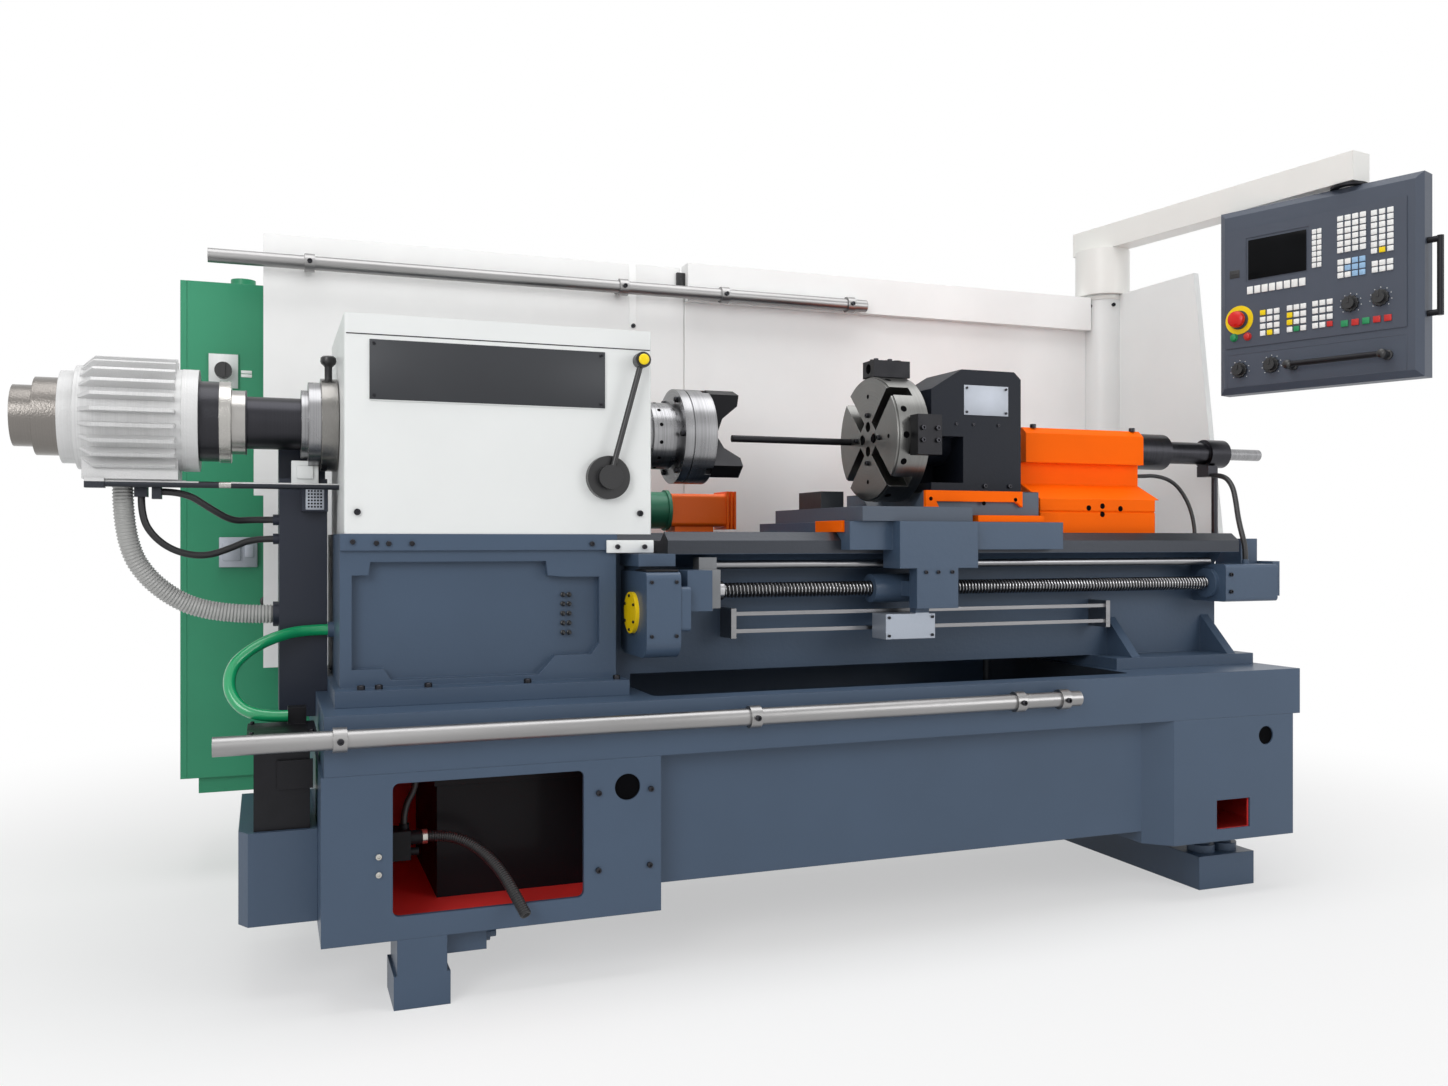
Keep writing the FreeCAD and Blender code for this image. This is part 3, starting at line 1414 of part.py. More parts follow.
def control_panel():
    bevel = s.panel_bevel
    ledge = panel_face + s.panel_bevel_depth
    body = block((-s.panel_left_half, s.panel_right_half), (ledge, s.panel_thick / 2),
                 (panel_low, panel_high))
    face = document.addObject("Part::Wedge", "bevelled_face")
    bind(face, Xmin=-s.panel_left_half + bevel, Xmax=s.panel_right_half - bevel, X2min=-s.panel_left_half,
         X2max=s.panel_right_half, Ymin=panel_face, Ymax=ledge, Zmin=panel_low + bevel,
         Zmax=panel_high - bevel, Z2min=panel_low, Z2max=panel_high)
    well = rod("Y", (panel_face - 1, panel_face + s.stop_well), stop_place, s.stop_stem + s.flat_gap)
    return on_panel(minus(join(body, face), well))


def panel_keys():
    """The face plate with its screen surround, its blocks of keys and the stop button's collar."""
    x0, top = at_panel(0.045, 0.112)
    x1, low = at_panel(0.932, 0.752)
    y = panel_face
    plate = block((x0, x1), (y - s.face_plate, y), (low, top))
    keys = []
    for first, last, rows, columns in KEY_BLOCKS:
        for row in range(rows):
            for column in range(columns):
                a = first[0] + (last[0] - first[0]) * (column + 0.5) / columns
                b = first[1] + (last[1] - first[1]) * (row + 0.5) / rows
                kx, kz = at_panel(a, b)
                half = s.key_half
                keys.append(block((kx - half, kx + half), (y - s.face_plate - s.key_height, y - s.face_plate),
                                  (kz - half, kz + half)))
    sx0, sz1 = at_panel(0.15, 0.165)
    sx1, sz0 = at_panel(0.475, 0.405)
    screen = block((sx0, sx1), (y - s.face_plate - 1, y - 1), (sz0, sz1))
    x, z = stop_place
    collar = rod("Y", (y - s.face_plate - s.stop_collar, y - s.face_plate), (x, z), s.stop_collar_radius)
    well = rod("Y", (y - s.face_plate - s.stop_collar - 1, y + 1), (x, z), s.stop_stem + s.flat_gap)
    return on_panel(minus(join(plate, *keys, collar), screen, well))


KEY_BLOCKS = [
    ((0.155, 0.420), (0.463, 0.480), 1, 8),
    ((0.490, 0.187), (0.540, 0.390), 7, 2),
    ((0.611, 0.145), (0.753, 0.339), 6, 4),
    ((0.768, 0.149), (0.879, 0.371), 7, 3),
    ((0.613, 0.366), (0.750, 0.467), 3, 4),
    ((0.773, 0.403), (0.876, 0.466), 2, 3),
    ((0.223, 0.562), (0.332, 0.709), 4, 3),
    ((0.363, 0.558), (0.466, 0.709), 4, 3),
    ((0.490, 0.555), (0.596, 0.707), 4, 3),
    ((0.624, 0.676), (0.874, 0.718), 1, 5),
]


def panel_handles():
    """The bar handle under the keys and the tube handle on the panel's right side."""
    x0, z = at_panel(0.38, 0.88)
    x1, _ = at_panel(0.86, 0.88)
    y = panel_face
    bar = rod("X", (x0, x1), (y - 40, z), 9)
    posts = [rod("Y", (y - 40, y), (x0 + 12, z), 8), rod("Y", (y - 40, y), (x1 - 12, z), 8)]
    side = s.panel_right_half
    high = panel_high - 190
    low = panel_high - 420
    tube = rod("Z", (low, high), (side + 34, 0), 9)
    arms = [rod("X", (side, side + 34), (0, low + 9), 9), rod("X", (side, side + 34), (0, high - 9), 9)]
    return on_panel(apart(join(bar, *posts), join(tube, *arms)))


def emergency_stop():
    collar = panel_face - s.face_plate - s.stop_collar
    back = collar - s.stop_travel - s.flat_gap
    stem = rod("Y", (back, panel_face + s.stop_well - s.stop_travel - 1), stop_place, s.stop_stem)
    head = rod("Y", (back - 20, back), stop_place, s.stop_radius)
    return on_panel(join(stem, head))


def panel_knob(across, up, radius, on_plate):
    x, z = at_panel(across, up)
    seat = panel_face - s.face_plate if on_plate else panel_face
    y = seat - s.flat_gap
    body = rod("Y", (y - 22, y), (x, z), radius)
    pointer = block((x - 3, x + 3), (y - 25, y - 22), (z, z + radius - 2))
    return on_panel(join(body, pointer))


# ---------------------------------------------------------------- services

def electrical_cabinet():
    x = left + s.cabinet_left
    right = x + s.cabinet_length
    y = cabinet_y
    back = y + s.cabinet_depth
    z = s.cabinet_bottom
    top = z + s.cabinet_height
    wall = s.cabinet_wall
    shell = block((x, right), (y, back), (z, top))
    space = block((x - 1, right - wall), (y + wall, back - wall), (z + wall, top - wall))
    plinth = block((x + 30, right - 30), (y + 20, back - 20), (z - 48, z))
    dome_place = (x + 150, y + 150)
    dome = join(rod("Z", (top, top + 22), dome_place, 46), rod("Z", (top + 22, top + 40), dome_place, 36))
    brackets = [block((x + 260, x + 320), (shield_front + s.shield_thick, y), (level, level + 60))
                for level in (as_size(700), as_size(1500))]
    switch_x, switch_z = switch_place
    plate = block((switch_x - 42, switch_x + 42), (y - s.switch_plate, y), (switch_z - 52, switch_z + 52))
    return minus(join(shell, plinth, dome, *brackets, plate), space)


def cabinet_door():
    x = left + s.cabinet_left
    y = cabinet_y
    back = y + s.cabinet_depth
    z = s.cabinet_bottom
    top = z + s.cabinet_height
    outer = (x - s.flat_gap - s.door_thick, x - s.flat_gap)
    leaf = block(outer, (y + 1, back), (z, top))
    lock = rod("X", (outer[0] - 14, outer[0]), (back - 40, z + 760), 14)
    return join(leaf, lock)


def main_switch():
    y = cabinet_y - s.switch_plate - s.flat_gap
    x, z = switch_place
    return join(rod("Y", (y - 28, y), (x, z), 24), block((x - 6, x + 6), (y - 34, y - 28), (z - 22, z + 22)))


def coolant_tank():
    x = left + s.coolant_left
    y = front + s.coolant_front
    back = y + s.coolant_depth
    z = s.coolant_bottom
    outline = [(x, y + 34), (x + 20, y), (left, y), (left, back), (x, back)]
    return slab("XY", outline, (z, z + s.coolant_height))


def coolant_pump():
    """The pump on the coolant tank, its cover plate and the elbow that takes the green hose."""
    x = left + s.pump_left
    right = x + s.pump_length
    y = front + s.pump_front
    back = y + s.pump_depth
    z = s.coolant_bottom + s.coolant_height
    body = block((x + 14, right - 14), (y + 14, back - 14), (z, s.pump_top - 16))
    gray = block((x + 62, right - 8), (y + 4, y + 14), (z + 90, s.pump_top - 60))
    cover = block((x, right), (y, back), (s.pump_top - 16, s.pump_top))
    elbow = block((right - 58, right - 18), (back - 46, back - 6), (s.pump_top, s.pump_top + 38))
    return join(body, gray, cover, elbow)


def supply_column():
    x = left + s.supply_left
    right = x + s.supply_length
    y = front + s.supply_front
    back = y + s.supply_depth
    post = block((left + s.tray_left, right), (y, back), (deck, s.supply_step))
    side = block((x, left + s.tray_left), (y, back), (deck - 60, s.supply_step))
    upper = block((x, right), (y + s.supply_setback, back), (s.supply_step, s.supply_top))
    valve = block((x + 50, right), (y - 40, y), (as_size(1070), as_size(1130)))
    glands = [rod("X", (x - s.gland_length, x), (front + depth, as_size(height)), radius)
              for depth, height, radius in SUPPLY_GLANDS]
    return join(post, side, upper, valve, *glands)


SUPPLY_GLANDS = [(482, 822, 30), (466, 1050, 13), (476, 1004, 13)]


def rear_motor():
    """A motor lying behind the bed: a round bell, a square housing and its end fins."""
    x = left + s.motor_left
    right = x + s.motor_length
    y = front + s.motor_depth
    z = s.motor_height
    half = s.motor_half
    seam = x + s.bell_length
    bell = stepped((y, z), [(x, seam - 10, s.bell_radius - 6), (seam - 10, seam, s.bell_radius)])
    housing = soften(block((seam, right), (y - half, y + half), (z - half, z + half)), 12, along_x)
    wide = half + s.motor_fin_reach
    fins = [block((right - s.motor_fin * place, right - s.motor_fin * (place - 1)), (y - wide, y + wide),
                  (z - wide, z + wide)) for place in (1, 3, 5)]
    stand = block((x + 80, right - 70), (y - 45, y + 45), (deck, z - half))
    return join(bell, housing, *fins, stand)


# ---------------------------------------------------------------- hoses
# Their routes are chosen by hand: places from the stand's front left corner, in mm.

DRAIN_ROUTE = [(-414, 438, 1126), (-414, 438, 996), (-348, 455, 888), (-229, 482, 822), (-91, 482, 822)]
PRESSURE_ROUTE_1 = [(-330, 400, 1112), (-282, 400, 1112), (-230, 418, 1076), (-182, 446, 1046),
                    (-139, 466, 1050), (-91, 466, 1050)]
PRESSURE_ROUTE_2 = [(-374, 420, 1100), (-374, 420, 1052), (-346, 426, 1004), (-300, 436, 972),
                    (-240, 450, 962), (-184, 466, 982), (-139, 476, 1004), (-91, 476, 1004)]
COOLANT_ROUTE = [(33, 432, 784), (-20, 432, 784), (-72, 408, 776), (-132, 381, 753), (-185, 354, 708),
                 (-185, 316, 644), (-132, 289, 599), (-60, 289, 599)]
TAILSTOCK_ROUTE_1 = [(2381, 410, 1200), (2440, 410, 1200), (2505, 402, 1204), (2562, 390, 1184),
                     (2594, 370, 1130), (2602, 350, 1068), (2595, 335, 1006), (2595, 335, 954)]
TAILSTOCK_ROUTE_2 = [(2730, 405, 1208), (2730, 358, 1208), (2722, 312, 1172), (2704, 280, 1122),
                     (2678, 246, 1080), (2654, 212, 1044), (2640, 186, 1010), (2636, 172, 976),
                     (2636, 172, 944)]
BASE_ROUTE_1 = [(222, 150, 330), (266, 150, 330), (312, 126, 322), (350, 88, 300), (380, 40, 268),
                (402, -8, 228), (420, -50, 188)]
BASE_ROUTE_2 = [(184, 155, 362), (184, 155, 398), (212, 155, 444), (212, 155, 481)]


# ---------------------------------------------------------------- the machine

node("base_frame", base_frame())
node("chip_tray", chip_tray())
node("left_feet", left_feet())
node("right_foot", right_foot())
node("base_tank", base_tank())
node("bed", bed())
node("headstock_casting", headstock_casting())
node("spindle_bearings", spindle_bearings())
node("headstock_cover", headstock_cover())
node("headstock_lid", headstock_lid())
node("selector_lever", selector_lever())
node("spindle", spindle())
node("draw_tube", draw_tube())
node("chuck_body", chuck_body())
for number, turn in enumerate(JAW_TURNS, start=1):
    node(f"jaw_{number}", jaw(turn))
node("actuator_housing", actuator_housing())
node("feed_gearbox", feed_gearbox())
node("ball_screw", ball_screw())
node("end_bearing_block", end_bearing_block())
node("guide_bars", guide_bars())
node("carriage", carriage())
node("wipers", wipers())
node("cross_slide", cross_slide())
node("slide_frame", slide_frame())
node("turret_body", turret_body())
node("turret_disc", turret_disc())
node("turret_tools", turret_tools())
node("tailstock_body", tailstock_body())
node("tailstock_cylinder", tailstock_cylinder())
node("tailstock_quill", tailstock_quill())
node("front_rail_tube", front_rail_tube())
node("rear_rail_tube", rear_rail_tube())
node("rear_shield", rear_shield())
node("panel_column", panel_column())
node("support_arm", support_arm())
node("control_panel", control_panel())
node("panel_keys", panel_keys())
node("panel_handles", panel_handles())
node("emergency_stop", emergency_stop())
node("override_knob_1", panel_knob(0.677, 0.60, 17, True))
node("override_knob_2", panel_knob(0.816, 0.592, 17, True))
node("selector_knob_1", panel_knob(0.116, 0.873, 17, False))
node("selector_knob_2", panel_knob(0.284, 0.864, 17, False))
node("electrical_cabinet", electrical_cabinet())
node("cabinet_door", cabinet_door())
node("main_switch", main_switch())
node("coolant_tank", coolant_tank())
node("coolant_pump", coolant_pump())
node("supply_column", supply_column())
node("rear_motor", rear_motor())
node("drain_hose", corrugated("drain_hose", DRAIN_ROUTE, s.drain_hose_size, 30, FreeCAD.Vector(0, 1, 0)))
node("pressure_hose_1", hose("pressure_hose_1", PRESSURE_ROUTE_1, s.pressure_hose_size))
node("pressure_hose_2", hose("pressure_hose_2", PRESSURE_ROUTE_2, s.pressure_hose_size))
node("coolant_hose", hose("coolant_hose", COOLANT_ROUTE, s.coolant_hose_size))
node("tailstock_hose_1", hose("tailstock_hose_1", TAILSTOCK_ROUTE_1, s.tail_hose_size))
node("tailstock_hose_2", hose("tailstock_hose_2", TAILSTOCK_ROUTE_2, s.end_hose_size))
node("base_hose_1", corrugated("base_hose_1", BASE_ROUTE_1, s.base_hose_size, 24, FreeCAD.Vector(1, -1, 2)))
node("base_hose_2", hose("base_hose_2", BASE_ROUTE_2, s.thin_base_hose_size))

document.recompute()
for thing in document.Objects:
    if "Invalid" in thing.State or "Error" in thing.State:
        raise RuntimeError(f"{thing.Label} failed: {thing.State}")
for name, piece in nodes.items():
    if piece.Shape.isNull() or not piece.Shape.isValid():
        raise RuntimeError(f"{name} has no valid shape")

os.makedirs("parts", exist_ok=True)
for name, piece in nodes.items():
    piece.Shape.exportStep(f"parts/{name}.step")
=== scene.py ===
import math

import bmesh
import bpy
from mathutils import Matrix, Vector

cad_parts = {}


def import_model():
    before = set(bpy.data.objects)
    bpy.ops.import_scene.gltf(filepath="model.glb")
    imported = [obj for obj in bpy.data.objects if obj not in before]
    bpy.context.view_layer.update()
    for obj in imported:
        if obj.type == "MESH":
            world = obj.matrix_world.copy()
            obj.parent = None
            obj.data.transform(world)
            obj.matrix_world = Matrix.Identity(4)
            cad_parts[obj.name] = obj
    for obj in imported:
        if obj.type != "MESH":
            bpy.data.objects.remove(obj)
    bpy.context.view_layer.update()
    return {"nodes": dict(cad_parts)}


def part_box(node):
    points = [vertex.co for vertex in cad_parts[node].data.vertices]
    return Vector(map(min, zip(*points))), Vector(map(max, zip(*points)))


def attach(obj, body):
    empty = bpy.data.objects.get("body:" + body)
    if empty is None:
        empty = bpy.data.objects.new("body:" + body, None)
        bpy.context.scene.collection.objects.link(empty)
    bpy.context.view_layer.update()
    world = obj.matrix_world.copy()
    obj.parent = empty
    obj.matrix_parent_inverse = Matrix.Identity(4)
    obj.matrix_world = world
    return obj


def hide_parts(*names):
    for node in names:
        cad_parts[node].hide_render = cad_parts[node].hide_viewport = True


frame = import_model()

# Places are in mm: X from the stand's left end, Y from its front, Z from the floor.
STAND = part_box("base_frame")
LEFT = STAND[0].x
FRONT = STAND[0].y
X_AXIS, Y_AXIS, Z_AXIS = Vector((1, 0, 0)), Vector((0, 1, 0)), Vector((0, 0, 1))
TO_FRONT = -Y_AXIS


def at(x, y, z):
    """A place in mm as a point of the frame, in metres."""
    return Vector((LEFT + x / 1000, FRONT + y / 1000, z / 1000))


def edges(node):
    """A node's lowest and highest corners, in this script's places."""
    low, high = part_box(node)
    shift = Vector((LEFT, FRONT, 0))
    return (low - shift) * 1000, (high - shift) * 1000


def linear(red, green, blue):
    """A colour as a screen shows it, 0 to 255, made linear."""
    def one(value):
        value /= 255
        return value / 12.92 if value <= 0.04045 else ((value + 0.055) / 1.055) ** 2.4
    return (one(red), one(green), one(blue), 1.0)


def feed(tree, node, values):
    """Give a node's inputs their values: numbers, colours or the outputs of other nodes."""
    for socket, value in values.items():
        if isinstance(value, bpy.types.NodeSocket):
            tree.links.new(value, node.inputs[socket])
        else:
            node.inputs[socket].default_value = value


def new_node(tree, kind, values=None, **settings):
    node = tree.nodes.new(kind)
    for word, value in settings.items():
        setattr(node, word, value)
    feed(tree, node, values or {})
    return node


def new_piece(name, data):
    """Put an object with this data into the scene."""
    piece = bpy.data.objects.new(name, data)
    bpy.context.scene.collection.objects.link(piece)
    return piece


# ---------------------------------------------------------------- finishes

COAT_ROUGHNESS = 0.12
NOISE_SPAN = (0.3, 0.7)
LATHE_LINES, LATHE_DEPTH = 420.0, 0.00004
BEVEL_SAMPLES = 4
FAR = 9000
MAP_SOCKETS = ("From Min", "From Max", "To Min", "To Max")


class Finish:
    """A procedural material: a ground colour as a screen shows it, then patches, unevenness and relief."""

    def __init__(self, name, colour, rough, metal=0.0, coat=0.0, gloss=0.5):
        self.material = bpy.data.materials.new(name)
        self.material.use_nodes = True
        self.tree = self.material.node_tree
        self.shader = self.tree.nodes["Principled BSDF"]
        feed(self.tree, self.shader, {"Coat Weight": coat, "Coat Roughness": COAT_ROUGHNESS,
                                      "Specular IOR Level": gloss})
        self.colour, self.rough, self.metal = linear(*colour), rough, metal
        self.relief = []
        self.place = self.add("ShaderNodeTexCoord")["Object"]

    def add(self, kind, values=None, **settings):
        """A new node's outputs."""
        return new_node(self.tree, kind, values, **settings).outputs

    def maths(self, operation, first, second=0.0):
        return self.add("ShaderNodeMath", {0: first, 1: second}, operation=operation)[0]

    def vectors(self, operation, first, second):
        return self.add("ShaderNodeVectorMath", {0: first, 1: second}, operation=operation)[0]

    def parts(self, vector):
        return self.add("ShaderNodeSeparateXYZ", {0: vector})

    def noise(self, scale, detail, stretch=(1, 1, 1), vector=None):
        place = self.vectors("MULTIPLY", vector or self.place, stretch)
        return self.add("ShaderNodeTexNoise", {"Vector": place, "Scale": scale, "Detail": detail})["Fac"]

    def between(self, value, *limits):
        return self.add("ShaderNodeMapRange", {"Value": value, **dict(zip(MAP_SOCKETS, limits))})["Result"]

    def blend(self, share, first, second, kind="MIX"):
        values = {0: share, 6: first, 7: second}
        return self.add("ShaderNodeMix", values, data_type="RGBA", blend_type=kind)[2]

    def blend_number(self, share, first, second):
        return self.add("ShaderNodeMix", {0: share, 2: first, 3: second}, data_type="FLOAT")[0]

    def inside(self, low, high):
        """1 inside a box between two places, 0 outside."""
        low, high = at(*low), at(*high)
        away = self.vectors("SUBTRACT", self.place, tuple((low + high) / 2))
        away = self.vectors("ABSOLUTE", away, (0, 0, 0))
        away = self.parts(self.vectors("SUBTRACT", away, tuple((high - low) / 2)))
        furthest = self.maths("MAXIMUM", self.maths("MAXIMUM", away[0], away[1]), away[2])
        return self.maths("LESS_THAN", furthest)

    def distance(self, axis):
        """How far a point lies from an axis along X."""
        across = self.parts(self.vectors("SUBTRACT", self.place, at(0, *axis)))
        squares = [self.maths("MULTIPLY", across[number], across[number]) for number in (1, 2)]
        return self.maths("SQRT", self.maths("ADD", *squares))

    def patch(self, share, colour, rough, metal=None):
        self.colour = self.blend(share, self.colour, linear(*colour))
        self.rough = self.blend_number(share, self.rough, rough)
        if metal is not None:
            self.metal = self.blend_number(share, self.metal, metal)
        return self

    def box(self, low, high, *layer):
        """A patch inside a box between two places."""
        return self.patch(self.inside(low, high), *layer)

    def band(self, low, high, radius, *layer):
        """A patch about the spindle's axis, between two distances along it."""
        near = self.maths("LESS_THAN", self.distance(SPINDLE), radius)
        along = self.inside((low, -FAR, -FAR), (high, FAR, FAR))
        return self.patch(self.maths("MULTIPLY", near, along), *layer)

    def shade(self, cloud, amount):
        """Lighten and darken the colour by a noise."""
        light = self.between(cloud, *NOISE_SPAN, 1 - amount, 1 + amount)
        grey = self.add("ShaderNodeCombineColor", dict.fromkeys(range(3), light))[0]
        self.colour = self.blend(1.0, self.colour, grey, "MULTIPLY")

    def vary(self, amount, scale, stretch=(1, 1, 1)):
        """Uneven lightness and gloss."""
        cloud = self.noise(scale, 3.0, stretch)
        self.shade(cloud, amount)
        self.rough = self.maths("ADD", self.rough, self.between(cloud, *NOISE_SPAN, -amount / 2, amount / 2))
        return self

    def grain(self, height, scale, stretch=(1, 1, 1)):
        """Fine relief, its height in metres."""
        self.relief.append((self.noise(scale, 2.0, stretch), height))
        return self

    def turned(self, axis, amount):
        """Fine rings left by a lathe tool, about an axis along X."""
        join = {0: self.parts(self.place)[0], 1: self.distance(axis)}
        rings = self.noise(LATHE_LINES, 2.0, vector=self.add("ShaderNodeCombineXYZ", join)[0])
        self.shade(rings, amount)
        self.relief.append((rings, LATHE_DEPTH))
        return self

    def done(self, edge):
        """Join the layers to the shader. `edge` is the radius, in metres, that rounds edges in the shading."""
        normal = {}
        if edge:
            normal = {"Normal": self.add("ShaderNodeBevel", {"Radius": edge}, samples=BEVEL_SAMPLES)[0]}
        for height, distance in self.relief:
            bump = {"Strength": 1.0, "Distance": distance, "Height": height, **normal}
            normal = {"Normal": self.add("ShaderNodeBump", bump)[0]}
        feed(self.tree, self.shader, {"Base Color": self.colour, "Roughness": self.rough,
                                      "Metallic": self.metal, **normal})
        return self.material


# The axes along X: Y and Z.
SPINDLE = (438, 1280)
SCREW = (200, 874)
TURRET = (330, 1280)

BLUE_GREY = (66, 83, 104)
BAY_RED = (250, 66, 62)
DARK_WAY = (60, 63, 69)
# The colour of the chip tray's trough, darker than its enamel.
DARK_TROUGH = (40, 46, 54)
OILED_TOP = (44, 47, 52)
SCRATCHED = (0.04, 1, 1)
ALL_ROUND = 0.2
BEARING_CAP_RADIUS = 0.1128
GROOVE_RADIUS = 0.0186


def enamel(name, colour, rough, amount=0.035, gloss=0.35):
    """Sprayed machine enamel: slight orange peel, uneven gloss and a clear top."""
    return Finish(name, colour, rough, coat=0.06, gloss=gloss).vary(amount, 5).grain(0.00012, 420)


def ground(name, colour, rough):
    """Ground metal with fine scratches along X."""
    return Finish(name, colour, rough, 1.0).vary(0.06, 60, SCRATCHED).grain(0.00003, 900, SCRATCHED)


def lathe_turned(name, colour, rough, axis=SPINDLE, amount=0.12):
    """Bare steel turned on a lathe."""
    return Finish(name, colour, rough, 1.0).vary(0.05, 12).turned(axis, amount)


def cast_enamel(name, colour=BLUE_GREY, rough=0.4, height=0.00035, scale=70):
    """Enamel over a rough casting."""
    return enamel(name, colour, rough).grain(height, scale)


def stand_paint():
    """The stand's enamel, with the red inside of its bay and niche."""
    finish = enamel("blue_grey_enamel", BLUE_GREY, 0.4)
    finish.box((6, 12.5, 155), (737, 844, 499), BAY_RED, 0.42)
    return finish.box((2230, 6, 168), (2637, 844, 499), BAY_RED, 0.42).done(0.003)


def bed_iron():
    """The bed: cast and painted below, ground on its guideways."""
    finish = cast_enamel("bed_iron", BLUE_GREY, 0.45, 0.0004, 90)
    return finish.box((805, 140, 967), (2620, 710, 1040), DARK_WAY, 0.32, 0.7).done(0.002)


def tray_paint():
    """The chip tray, darker in its trough."""
    finish = enamel("tray_enamel", BLUE_GREY, 0.4)
    return finish.box((748, 70, 530), (2128, 770, 632), DARK_TROUGH, 0.3).done(0.004)


def coated_casting():
    """The actuator: a light rough-cast drum, its turned ends and its dark stay bar."""
    finish = Finish("coated_casting", (206, 206, 206), 0.42, 0.1, 0.1)
    finish.vary(0.05, 9).grain(0.0005, 260)
    finish.band(-640, -536, ALL_ROUND, (126, 122, 118), 0.28, 1.0)
    finish.band(-251, -208, ALL_ROUND, (52, 52, 56), 0.3, 0.9)
    finish.box((-640, 200, 1085), (60, 640, 1132), (40, 43, 50), 0.36, 0.6)
    finish.band(-208, -182, ALL_ROUND, (176, 174, 170), 0.22, 1.0)
    return finish.turned(SPINDLE, 0.05).done(0.0025)


def draw_tube_steel():
    """Dark turned steel with a bright ring at the actuator."""
    finish = lathe_turned("draw_tube_steel", (56, 56, 60), 0.32)
    return finish.band(-190, -152, ALL_ROUND, (168, 166, 163), 0.24).done(0.0012)


def headstock_paint():
    """The casting's enamel, with the turned steel of its bearing cap at the actuator's side."""
    finish = cast_enamel("headstock_enamel")
    return finish.band(8, 57, BEARING_CAP_RADIUS, (132, 130, 127), 0.26, 1.0).done(0.003)


def carriage_paint():
    """The carriage's enamel, with the bare alloy box of its trip switches."""
    finish = cast_enamel("carriage_enamel")
    return finish.box((1382, 103, 743), (1531, 182, 812), (162, 169, 180), 0.36, 0.5).done(0.003)


def slide_paint():
    """The cross slide: enamel on its sides and dark iron on its two levels."""
    finish = cast_enamel("slide_enamel", (74, 84, 98), 0.42, 0.0003)
    finish.box((1200, 0, 1090), (1495, 800, 1200), OILED_TOP, 0.4, 0.4)
    return finish.box((1495, 0, 1131), (2000, 800, 1200), OILED_TOP, 0.4, 0.4).done(0.002)


def gearbox_paint():
    """The feed gearbox: enamel, a yellow end cap and the bare alloy of its screw bearing."""
    finish = cast_enamel("gearbox_enamel")
    finish.box((712, 100, 770), (723.7, 214, 882), (246, 208, 12), 0.36)
    return finish.box((898.5, 40, 700), (950, 280, 990), (122, 124, 127), 0.4, 0.5).done(0.002)


def motor_paint():
    """The rear motor: a green bell and an orange housing."""
    finish = enamel("motor_enamel", (246, 104, 10), 0.36, 0.03).grain(0.0003, 90)
    return finish.box((900, 700, 600), (1035, 1000, 1200), (48, 118, 90), 0.4).done(0.002)


def screw_steel():
    """The feed screw: bright lands and darker thread grooves."""
    finish = lathe_turned("screw_steel", (176, 176, 178), 0.26, SCREW)
    groove = finish.maths("LESS_THAN", finish.distance(SCREW), GROOVE_RADIUS)
    return finish.patch(groove, (34, 34, 36), 0.5, 0.4).done(0)


def tube_steel():
    """Drawn steel tube, uneven along its length."""
    finish = ground("guard_tube_steel", (152, 151, 151), 0.38)
    return finish.vary(0.10, 7, (0.3, 1, 1)).done(0.001)


def hose_rubber(name, colour, rough, coat=0.0):
    """The moulded skin of a hose."""
    return Finish(name, colour, rough, coat=coat).vary(0.05, 14).grain(0.00008, 500).done(0)


